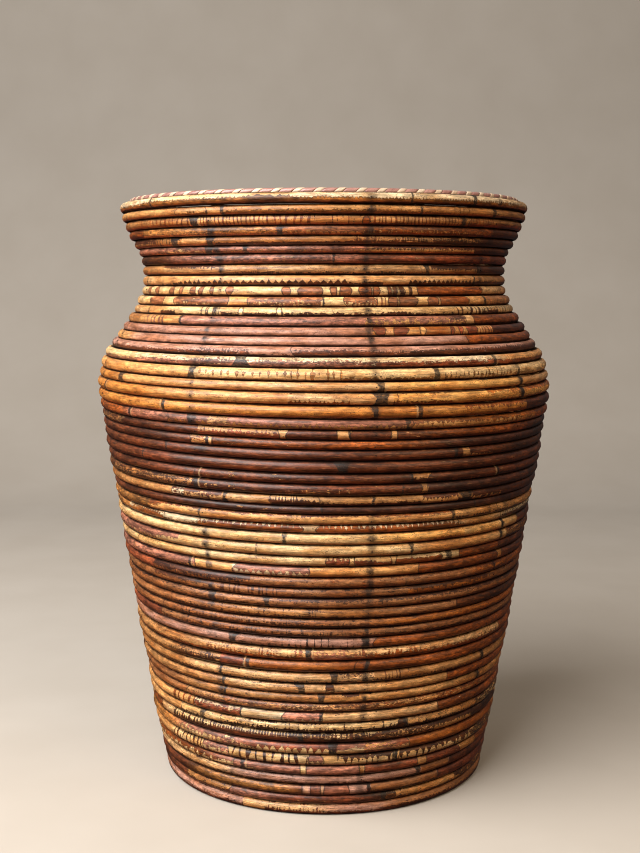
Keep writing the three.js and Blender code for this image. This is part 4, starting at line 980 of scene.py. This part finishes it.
# ---------------------------------------------------------------------------
# Materials
# ---------------------------------------------------------------------------
class Graph:
    """Short names for building a node tree."""

    def __init__(self, name):
        self.mat = bpy.data.materials.new(name)
        self.mat.use_nodes = True
        self.nt = self.mat.node_tree
        self.nt.nodes.clear()
        self.out = self.nt.nodes.new("ShaderNodeOutputMaterial")
        self.bsdf = self.nt.nodes.new("ShaderNodeBsdfPrincipled")
        self.nt.links.new(self.bsdf.outputs["BSDF"], self.out.inputs["Surface"])

    def put(self, socket, value):
        if hasattr(value, "is_linked"):
            self.nt.links.new(value, socket)
        else:
            socket.default_value = value

    def attr(self, name, what="Fac"):
        n = self.nt.nodes.new("ShaderNodeAttribute")
        n.attribute_name = name
        return n.outputs[what]

    def math(self, op, a, b=0.0, c=0.0, clamp=False):
        n = self.nt.nodes.new("ShaderNodeMath")
        n.operation = op
        n.use_clamp = clamp
        for s, v in zip(n.inputs, (a, b, c)):
            self.put(s, v)
        return n.outputs[0]

    def add(self, a, b):
        return self.math("ADD", a, b)

    def sub(self, a, b):
        return self.math("SUBTRACT", a, b)

    def mul(self, a, b):
        return self.math("MULTIPLY", a, b)

    def scale(self, vec, s):
        n = self.nt.nodes.new("ShaderNodeVectorMath")
        n.operation = "MULTIPLY"
        self.put(n.inputs[0], vec)
        n.inputs[1].default_value = s
        return n.outputs[0]

    def noise(self, vec, s, detail=2.0, rough=0.5, distort=0.0, out="Fac"):
        n = self.nt.nodes.new("ShaderNodeTexNoise")
        n.inputs["Scale"].default_value = 1.0
        n.inputs["Detail"].default_value = detail
        n.inputs["Roughness"].default_value = rough
        n.inputs["Distortion"].default_value = distort
        self.put(n.inputs["Vector"], self.scale(vec, s))
        return n.outputs[out]

    def step(self, x, a, b, lo=0.0, hi=1.0):
        n = self.nt.nodes.new("ShaderNodeMapRange")
        n.interpolation_type = "SMOOTHSTEP"
        self.put(n.inputs["Value"], x)
        for k, v in (("From Min", a), ("From Max", b), ("To Min", lo), ("To Max", hi)):
            self.put(n.inputs[k], v)
        return n.outputs["Result"]

    def line(self, x, a, b, lo=0.0, hi=1.0):
        n = self.nt.nodes.new("ShaderNodeMapRange")
        self.put(n.inputs["Value"], x)
        for k, v in (("From Min", a), ("From Max", b), ("To Min", lo), ("To Max", hi)):
            self.put(n.inputs[k], v)
        return n.outputs["Result"]

    def mix(self, fac, a, b, mode="MIX"):
        n = self.nt.nodes.new("ShaderNodeMix")
        n.data_type = "RGBA"
        n.blend_type = mode
        n.clamp_factor = True
        self.put(n.inputs[0], fac)
        for s, v in ((n.inputs[6], a), (n.inputs[7], b)):
            self.put(s, v if hasattr(v, "is_linked") else (*v, 1.0))
        return n.outputs[2]

    def shade(self, colour, factor):
        """colour times a number."""
        n = self.nt.nodes.new("ShaderNodeVectorMath")
        n.operation = "SCALE"
        self.put(n.inputs[0], colour)
        self.put(n.inputs["Scale"], factor)
        return n.outputs[0]

    def bump(self, height, strength, distance, normal=None):
        n = self.nt.nodes.new("ShaderNodeBump")
        n.inputs["Strength"].default_value = strength
        n.inputs["Distance"].default_value = distance
        self.put(n.inputs["Height"], height)
        if normal is not None:
            self.put(n.inputs["Normal"], normal)
        return n.outputs["Normal"]

    def finish(self, colour, rough, normal=None, **consts):
        self.put(self.bsdf.inputs["Base Color"], colour)
        self.put(self.bsdf.inputs["Roughness"], rough)
        if normal is not None:
            self.put(self.bsdf.inputs["Normal"], normal)
        for k, v in consts.items():
            self.bsdf.inputs[k].default_value = v
        return self.mat


def cane_material():
    g = Graph("partly_peeled_cane")
    lay = g.attr("lay", "Vector")
    peel, saw, phase = g.attr("peel"), g.attr("saw"), g.attr("phase")
    bars, fine, gam = g.attr("bars"), g.attr("fine"), g.attr("gam")
    up, out = g.attr("up"), g.attr("out")
    skin, flesh = g.attr("skin", "Color"), g.attr("flesh", "Color")
    # teeth along the edge of the skin, even where it is clean and ragged where it is worn
    wander = g.noise(lay, (1 / 8.0, .02, .02), 2.0)
    ph = g.add(phase, g.mul(wander, g.line(fine, .15, 1.2, .9, 4.2)))
    tri = g.sub(1.0, g.math("ABSOLUTE", g.sub(g.mul(g.math("FRACT", ph), 2.0), 1.0)))
    tall = g.add(1.0, g.mul(g.sub(g.noise(lay, (1 / 5.0, .03, .03), 1.0), .5), g.line(fine, .15, 1.0, .9, 3.6)))
    teeth = g.mul(saw, g.sub(g.mul(g.math("POWER", tri, gam), tall), .40))
    # cross bars, leaning a little, some fainter
    lean = g.line(g.noise(lay, (1 / 17.0, .02, .02), 1.0), .3, .7, -.34, .34)
    bow = g.line(g.noise(lay, (1 / 13.0, .02, .02), 1.0, .5, .3), .3, .7, -.30, .30)
    lph = g.add(ph, g.add(g.mul(up, lean), g.mul(g.mul(up, up), bow)))
    ltri = g.sub(1.0, g.math("ABSOLUTE", g.sub(g.mul(g.math("FRACT", lph), 2.0), 1.0)))
    faint = g.line(g.noise(lay, (1 / 5.0, 1 / 9.0, 1 / 9.0), 2.0), .3, .7, .25, 1.5)
    bands = g.mul(bars, g.mul(g.step(ltri, .52, .86), g.mul(faint, 2.7)))
    fleck_n = g.noise(lay, (1 / 1.9, 1 / 1.1, 1 / 1.1), 3.0, .62)
    flecks = g.mul(fine, g.mul(g.sub(fleck_n, .5), 3.2))
    drift = g.mul(g.sub(g.noise(lay, (1 / 8.0, 1 / 4.0, 1 / 4.0), 3.0, .6), .5), 1.2)
    worn = g.mul(fine, g.step(g.noise(lay, (1 / 10.0, 1 / 2.2, 1 / 2.2), 3.0, .62), .56, .70, 0.0, -1.25))
    left = g.mul(fine, g.step(g.noise(lay, (1 / 6.0, 1 / 1.7, 1 / 1.7), 3.0, .6), .60, .74, 0.0, 1.25))
    # skin hangs on along both edges of the bare cane
    below = g.mul(g.step(up, -.05, -.85), g.line(g.noise(lay, (1 / 5.0, 1 / 3.0, 1 / 3.0), 3.0, .62), .40, .62, 0.0, 1.5))
    above = g.mul(g.step(up, .38, .92), g.line(g.noise(lay, (1 / 6.7, 1 / 2.5, 1 / 2.5), 3.0, .62), .46, .66, 0.0, 1.4))
    hang = g.mul(g.add(below, above), g.line(fine, .15, .8, .1, 1.0))
    p = g.add(g.add(g.add(peel, teeth), g.add(bands, hang)), g.add(g.add(flecks, drift), g.add(worn, left)))
    mask = g.step(p, -.08, .08)
    rim = g.step(g.math("ABSOLUTE", p), 0.0, .30, 1.0, 0.0)

    # skin: stained unevenly, streaked along the cane, short dark dashes, scuffs
    broad = g.noise(lay, (1 / 52.0, 1 / 10.0, 1 / 10.0), 4.0, .6)
    blotch = g.noise(lay, (1 / 11.0, 1 / 4.0, 1 / 4.0), 3.0, .6)
    streak = g.noise(lay, (1 / 15.0, 1 / .7, 1 / .7), 3.0, .6)
    dash = g.step(g.noise(lay, (1 / 3.8, 1 / .8, 1 / .8), 2.0, .5), .58, .68)
    scuff = g.step(g.noise(lay, (1 / 8.0, 1 / .5, 1 / .5), 2.0, .55), .62, .72)
    s1 = g.shade(skin, g.line(broad, .34, .66, .56, 1.55))
    s1 = g.mix(g.mul(g.step(broad, .52, .66), .32), s1, g.scale(skin, (1.55, 1.36, 1.15)))
    mottle = g.line(g.noise(lay, (1 / 4.2, 1 / 1.8, 1 / 1.8), 4.0, .68), .39, .61, .58, 1.40)
    mottle = g.add(1.0, g.mul(g.sub(mottle, 1.0), g.line(fine, .3, 1.2, .65, 1.5)))
    s2 = g.shade(s1, g.mul(g.mul(g.line(blotch, .37, .63, .57, 1.40), mottle), g.line(streak, .35, .65, .60, 1.36)))
    s3 = g.mix(g.mul(dash, g.line(fine, .2, 1.1, .35, .80)), s2, (.022, .007, .003))
    s3 = g.mix(g.mul(scuff, .22), s3, flesh)
    s4 = g.shade(s3, g.sub(1.0, g.mul(rim, .45)))
    # flesh: fine pores along the cane, amber drift, dark freckles here and there
    pores = g.step(g.noise(lay, (1 / 8.0, 1 / .42, 1 / .42), 2.0, .5), .55, .70)
    amber = g.noise(lay, (1 / 30.0, 1 / 6.0, 1 / 6.0), 3.0, .6)
    f1 = g.mix(g.step(amber, .42, .63), flesh, g.scale(flesh, (.79, .63, .46)))
    f2 = g.shade(f1, g.mul(g.mul(g.line(blotch, .37, .63, .68, 1.22), g.line(mottle, .58, 1.40, .70, 1.22)), g.line(streak, .35, .65, .70, 1.20)))
    f3 = g.mix(g.mul(pores, .38), f2, (.17, .066, .020))
    dots = g.step(g.noise(lay, (1 / 1.2, 1 / .70, 1 / .70), 1.0, .5), .58, .66)
    dots = g.mul(dots, g.step(g.noise(lay, (1 / 21.0, 1 / 4.0, 1 / 4.0), 2.0), .42, .60))
    f3 = g.mix(g.mul(dots, .70), f3, (.055, .018, .005))
    thread = g.step(g.noise(lay, (1 / 17.0, 1 / .55, 1 / .55), 2.0, .5), .59, .67)
    f3 = g.mix(g.mul(thread, g.line(fine, .1, .9, .15, .70)), f3, g.scale(skin, (.75, .70, .65)))
    f3 = g.mix(g.mul(g.step(p, -.34, -.10), .22), f3, g.scale(flesh, (1.15, 1.12, 1.08)))
    col = g.mix(mask, f3, s4)
    line = g.step(g.math("ABSOLUTE", g.add(p, .02)), .16, .03)
    col = g.mix(g.mul(line, .50), col, (.045, .013, .005))
    cut = g.add(g.attr("end_s"), g.mul(g.sub(fleck_n, .5), 1.6))
    cut = g.mul(g.step(g.math("ABSOLUTE", cut), .74, .22), g.step(g.attr("end_on"), .2, .6))
    col = g.mix(g.mul(cut, .78), col, (.034, .010, .004))

    # painted shade: the lower side of each cane is darkened and warmed, more on the neck; the grooves between canes are
    # painted near black; the inner side is dull
    painted_under_shade = g.step(g.attr("sky"), .32, -.88)
    at = g.nt.nodes.new("ShaderNodeSeparateXYZ")
    g.put(at.inputs[0], g.nt.nodes.new("ShaderNodeTexCoord").outputs["Object"])
    neck = g.step(at.outputs[2], .335, .415)
    depth = g.line(neck, 0, 1, .64, .90)
    # painted shade on the lower side of each cane, strongest on the neck, reddest at the very bottom
    col = g.mix(g.mul(painted_under_shade, depth), col, g.scale(col, (.67, .42, .23)))
    col = g.mix(g.mul(g.step(g.attr("sky"), -.28, -.92), g.mul(depth, .9)), col, g.scale(col, (.95, .30, .05)))
    edge = g.math("ABSOLUTE", up)
    wavy = g.mul(g.sub(g.noise(lay, (1 / 6.0, 1 / 9.0, 1 / 9.0), 3.0, .6), .5), .22)
    deep = g.mul(neck, g.step(up, -.10, -.70, 0.0, .14))
    # painted shade in the grooves between canes, darkest next to the neighbouring cane, deeper on the neck
    painted_groove_shade = g.mul(g.step(g.add(edge, g.add(wavy, deep)), .72, .93), g.line(g.noise(lay, (1 / 7.0, .3, .3), 2.0), .3, .7, .84, 1.0))
    col = g.mix(painted_groove_shade, col, (.008, .0022, .0008))
    inner = g.step(out, .05, -.35)
    col = g.mix(g.mul(inner, .30), col, (.13, .075, .04))

    # nodes: a dark worn band, some with a pale brow beside it
    nw = g.attr("node_w")
    ragged = g.mul(g.sub(g.noise(lay, (1 / 2.0, 1 / 1.6, 1 / 1.6), 3.0, .62), .5), 3.4)
    band = g.step(g.sub(g.add(g.attr("node_a"), ragged), nw), .55, -.45)
    sided = g.sub(g.attr("brow_d"), nw)
    brow = g.mul(g.step(sided, .0, .6), g.step(g.add(sided, ragged), 2.0, 1.3))
    brow = g.mul(brow, g.attr("brow"))
    col = g.mix(g.mul(brow, .60), col, (.52, .31, .14))
    smoke = g.line(g.noise(lay, (1 / 2.2, 1 / 1.3, 1 / 1.3), 3.0, .6), .32, .62, .66, 1.0)
    ash = g.step(g.noise(lay, (1 / 1.1, 1 / .8, 1 / .8), 2.0, .6), .54, .70, 0.0, .60)
    col = g.mix(g.mul(band, smoke), col, g.mix(ash, (.014, .008, .005), (.082, .060, .044)))

    # iron stain round each nail
    cloud = g.mul(g.sub(g.noise(lay, (1 / 2.6, 1 / 2.0, 1 / 2.0), 3.0, .6), .5), 1.5)
    rust = g.step(g.add(g.attr("blot"), cloud), 1.25, .25)
    rust = g.mul(g.mul(rust, g.step(out, -.2, .3)), g.attr("stain"))
    col = g.mix(g.mul(rust, .90), col, (.018, .009, .006))

    rough = g.add(g.line(mask, 0, 1, .46, .40), g.mul(g.sub(streak, .5), .20))
    rough = g.add(rough, g.add(g.mul(painted_groove_shade, .45), g.add(g.mul(band, .18), g.mul(inner, .20))))
    rough = g.add(rough, g.mul(g.sub(blotch, .5), .16))
    height = g.add(g.mul(mask, 1.0), g.add(g.add(g.mul(streak, .8), g.mul(mottle, .5)), g.mul(fleck_n, .5)))
    height = g.sub(height, g.add(g.mul(pores, .25), g.mul(band, .5)))
    normal = g.bump(height, .8, .00042)
    # no coat where the groove shade is painted; thinner coat on the inner side
    g.put(g.bsdf.inputs["Coat Weight"], g.mul(g.sub(1.0, painted_groove_shade), g.line(inner, 0, 1, .60, .15)))
    return g.finish(col, rough, normal, **{"Coat Roughness": .35, "Specular IOR Level": .18})


def rattan_material(name, base, dark, rough0):
    """Bare round rattan: pores along its length, ring nodes, dusty."""
    g = Graph(name)
    lay = g.attr("lay", "Vector")
    nd = g.attr("node_d")
    streak = g.noise(lay, (1 / 22.0, 1 / .8, 1 / .8), 3.0, .6)
    broad = g.noise(lay, (1 / 60.0, 1 / 8.0, 1 / 8.0), 3.0, .55)
    pores = g.step(g.noise(lay, (1 / 10.0, 1 / .5, 1 / .5), 2.0), .56, .70)
    c = g.mix(g.line(broad, .3, .7, 0, 1), base, dark)
    c = g.shade(c, g.line(streak, .25, .75, .80, 1.15))
    c = g.mix(g.mul(pores, .35), c, (.09, .045, .02))
    rag = g.mul(g.sub(g.noise(lay, (1 / 2.5, 1 / 2.0, 1 / 2.0), 2.0), .5), 2.5)
    ring = g.step(g.add(g.math("ABSOLUTE", nd), rag), 2.6, 1.2)
    c = g.mix(g.mul(ring, .8), c, (.045, .028, .018))
    dust = g.noise(lay, (1 / 14.0, 1 / 6.0, 1 / 6.0), 4.0, .65)
    c = g.mix(g.mul(g.step(dust, .52, .75), .28), c, (.34, .27, .19))
    rough = g.add(rough0, g.mul(g.sub(dust, .5), .22))
    h = g.sub(g.add(g.mul(streak, .8), g.mul(ring, .4)), g.mul(pores, .5))
    return g.finish(c, rough, g.bump(h, .5, .0003))


def strip_material(name, base, dark, rough0):
    """Flat cane peel: smooth skin with fine grain along the strip, and painted shade down its sides where it lies
    against the core.
    """
    g = Graph(name)
    lay = g.attr("lay", "Vector")
    sep = g.nt.nodes.new("ShaderNodeSeparateXYZ")
    g.put(sep.inputs[0], lay)
    grain = g.noise(lay, (1 / 14.0, 1 / .5, .2), 3.0, .6)
    broad = g.noise(lay, (1 / 27.0, 1 / 6.0, .2), 3.0, .55)
    c = g.mix(g.line(broad, .3, .7, 0, 1), base, dark)
    c = g.shade(c, g.line(grain, .25, .75, .80, 1.18))
    fleck = g.step(g.noise(lay, (1 / 2.8, 1 / 1.1, .2), 2.0), .62, .72)
    c = g.mix(g.mul(fleck, .45), c, (.035, .018, .010))
    # painted shade on the sides of the strip, down against the core
    low = g.step(sep.outputs[2], .80, .30)
    c = g.mix(g.mul(low, .75), c, (.030, .016, .010))
    rough = g.add(rough0, g.mul(g.sub(grain, .5), .2))
    return g.finish(c, rough, g.bump(g.add(grain, g.mul(fleck, -.4)), .45, .00018), **{"Coat Weight": .6, "Coat Roughness": .25})


def board_material():
    """Plywood: rotary-cut face grain, plies on the edge, stains."""
    g = Graph("plywood_board")
    tc = g.nt.nodes.new("ShaderNodeTexCoord")
    pos = g.scale(tc.outputs["Object"], (1000.0, 1000.0, 1000.0))
    wav = g.noise(pos, (1 / 120.0, 1 / 14.0, 1 / 60.0), 4.0, .6, 1.4)
    grain = g.noise(pos, (1 / 40.0, 1 / 1.2, 1 / 5.0), 3.0, .6)
    rings = g.math("FRACT", g.mul(wav, 9.0))
    tri = g.math("ABSOLUTE", g.sub(g.mul(rings, 2.0), 1.0))
    c = g.mix(g.line(tri, 0, 1, 0, 1), lin(206, 166, 112), lin(170, 122, 74))
    c = g.shade(c, g.line(grain, .25, .75, .82, 1.12))
    sep = g.nt.nodes.new("ShaderNodeSeparateXYZ")
    g.put(sep.inputs[0], pos)
    r2 = g.math("SQRT", g.add(g.math("POWER", sep.outputs[0], 2.0), g.math("POWER", sep.outputs[1], 2.0)))
    rim = g.step(r2, hoop_outer - .9, hoop_outer - .2)
    ply = g.math("FRACT", g.mul(sep.outputs[2], 1 / 2.4))
    dark_ply = g.step(g.math("ABSOLUTE", g.sub(ply, .5)), .18, .26)
    c = g.mix(g.mul(rim, g.mul(dark_ply, .75)), c, (.12, .062, .028))
    spots = g.noise(pos, (1 / 45.0, 1 / 45.0, 1 / 45.0), 4.0, .6)
    c = g.mix(g.mul(g.step(spots, .54, .72), .40), c, (.16, .095, .05))
    rough = g.line(grain, .3, .7, .62, .80)
    return g.finish(c, rough, g.bump(g.add(grain, g.mul(tri, .3)), .4, .0003))


def nail_material():
    g = Graph("rusty_nail")
    tc = g.nt.nodes.new("ShaderNodeTexCoord")
    pos = g.scale(tc.outputs["Object"], (1000.0, 1000.0, 1000.0))
    n = g.noise(pos, (1.4, 1.4, 1.4), 3.0, .6)
    c = g.mix(g.step(n, .40, .66), (.020, .014, .013), (.060, .026, .014))
    return g.finish(c, g.line(n, .3, .7, .42, .78), g.bump(n, .5, .0002), Metallic=.55)


cane_mat = cane_material()
rib_mat = rattan_material("bare_rattan", lin(176, 132, 82), lin(138, 94, 54), .58)
core_mat = rattan_material("peeled_rattan", lin(226, 186, 128), lin(200, 150, 96), .52)
wide_mat = strip_material("brown_cane_peel", lin(186, 136, 122), lin(146, 94, 82), .34)
thin_mat = strip_material("pale_cane_peel", lin(222, 197, 168), lin(202, 166, 134), .38)
board_mat = board_material()
nail_mat = nail_material()

for ob, node in canes:
    ob.data.materials.append(cane_mat)
    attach(ob, "root"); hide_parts(node)
for ob, node in ribs:
    ob.data.materials.append(rib_mat)
    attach(ob, "root"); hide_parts(node)
for ob, node, mat, slot in (
        (base_hoop, "base_hoop", rib_mat, "rib"), (rim_core, "rim_core", core_mat, "core"),
        (base_board, "base_board", board_mat, "board"),
        (wide_strip, "rim_binding", wide_mat, "binding"), (thin_strip, "rim_binding", thin_mat, "binding")):
    ob.data.materials.append(mat)
    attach(ob, "root"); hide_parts(node)
for ob, slot in ((brads, "cane"), (nails_in_board, "board")):
    ob.data.materials.append(nail_mat)
    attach(ob, "root")

# ---------------------------------------------------------------------------
# Floor, light, camera
# ---------------------------------------------------------------------------
def floor():
    prof = [(-6.0, 0.0), (1.2, 0.0)]
    for k in range(1, 13):
        a = math.pi / 2 * k / 12
        prof.append((1.2 + 0.8 * math.sin(a), 0.8 - 0.8 * math.cos(a)))
    prof.append((2.0, 1.6))
    verts, faces = [], []
    for y, z in prof:
        verts += [(-6.0, y, z), (6.0, y, z)]
    for k in range(len(prof) - 1):
        faces.append((2 * k, 2 * k + 1, 2 * k + 3, 2 * k + 2))
    me = bpy.data.meshes.new("studio_floor")
    me.from_pydata(verts, [], faces)
    me.polygons.foreach_set("use_smooth", [True] * len(faces))
    ob = bpy.data.objects.new("studio_floor", me)
    bpy.context.collection.objects.link(ob)
    g = Graph("pale_floor")
    tc = g.nt.nodes.new("ShaderNodeTexCoord")
    n = g.noise(tc.outputs["Object"], (9.0, 9.0, 9.0), 3.0)
    c = g.mix(g.line(n, .3, .7, 0, 1), (.54, .48, .41), (.51, .45, .38))
    me.materials.append(g.finish(c, .75))
    ob.visible_glossy = False
    ob.visible_diffuse = False


floor()


def area(name, loc, target, size, power, colour):
    from mathutils import Vector
    d = bpy.data.lights.new(name, "AREA")
    d.shape = "RECTANGLE"
    d.size, d.size_y = size
    d.energy = power
    d.color = colour
    ob = bpy.data.objects.new(name, d)
    bpy.context.collection.objects.link(ob)
    ob.location = loc
    ob.rotation_mode = "QUATERNION"
    ob.rotation_quaternion = (Vector(target) - Vector(loc)).to_track_quat("-Z", "Y")


area("window", (-1.00, -0.92, 1.37), (0, 0, .22), (2.1, 1.6), 79.0, (1.0, .985, .97))
area("fill", (1.25, -1.15, 1.30), (0, 0, .24), (1.4, 1.2), 11.0, (1.0, .75, .47))
world = bpy.data.worlds.new("studio")
world.use_nodes = True
wt = world.node_tree
sky = wt.nodes["Background"]
sky.inputs[0].default_value = (1.0, .97, .94, 1)
way = wt.nodes.new("ShaderNodeTexCoord")
part = wt.nodes.new("ShaderNodeSeparateXYZ")
rise = wt.nodes.new("ShaderNodeMapRange")
rise.interpolation_type = "SMOOTHSTEP"
wt.links.new(way.outputs["Generated"], part.inputs[0])
wt.links.new(part.outputs[2], rise.inputs["Value"])
for key, value in (("From Min", -.05), ("From Max", .85), ("To Min", .03), ("To Max", .25)):
    rise.inputs[key].default_value = value
wt.links.new(rise.outputs["Result"], sky.inputs[1])
bpy.context.scene.world = world
bpy.context.scene.view_settings.view_transform = "Standard"
bpy.context.scene.cycles.filter_width = 1.0

cam_data = bpy.data.cameras.new("camera")
cam_data.sensor_width = 36.0
cam_data.lens = 36.0 * 1290.0 / 853.0
cam = bpy.data.objects.new("camera", cam_data)
bpy.context.collection.objects.link(cam)
cam.location = (-0.0033, -1.1068, 0.4155)
cam.rotation_euler = (math.radians(90.0 - 6.402), 0.0, 0.0)
bpy.context.scene.camera = cam
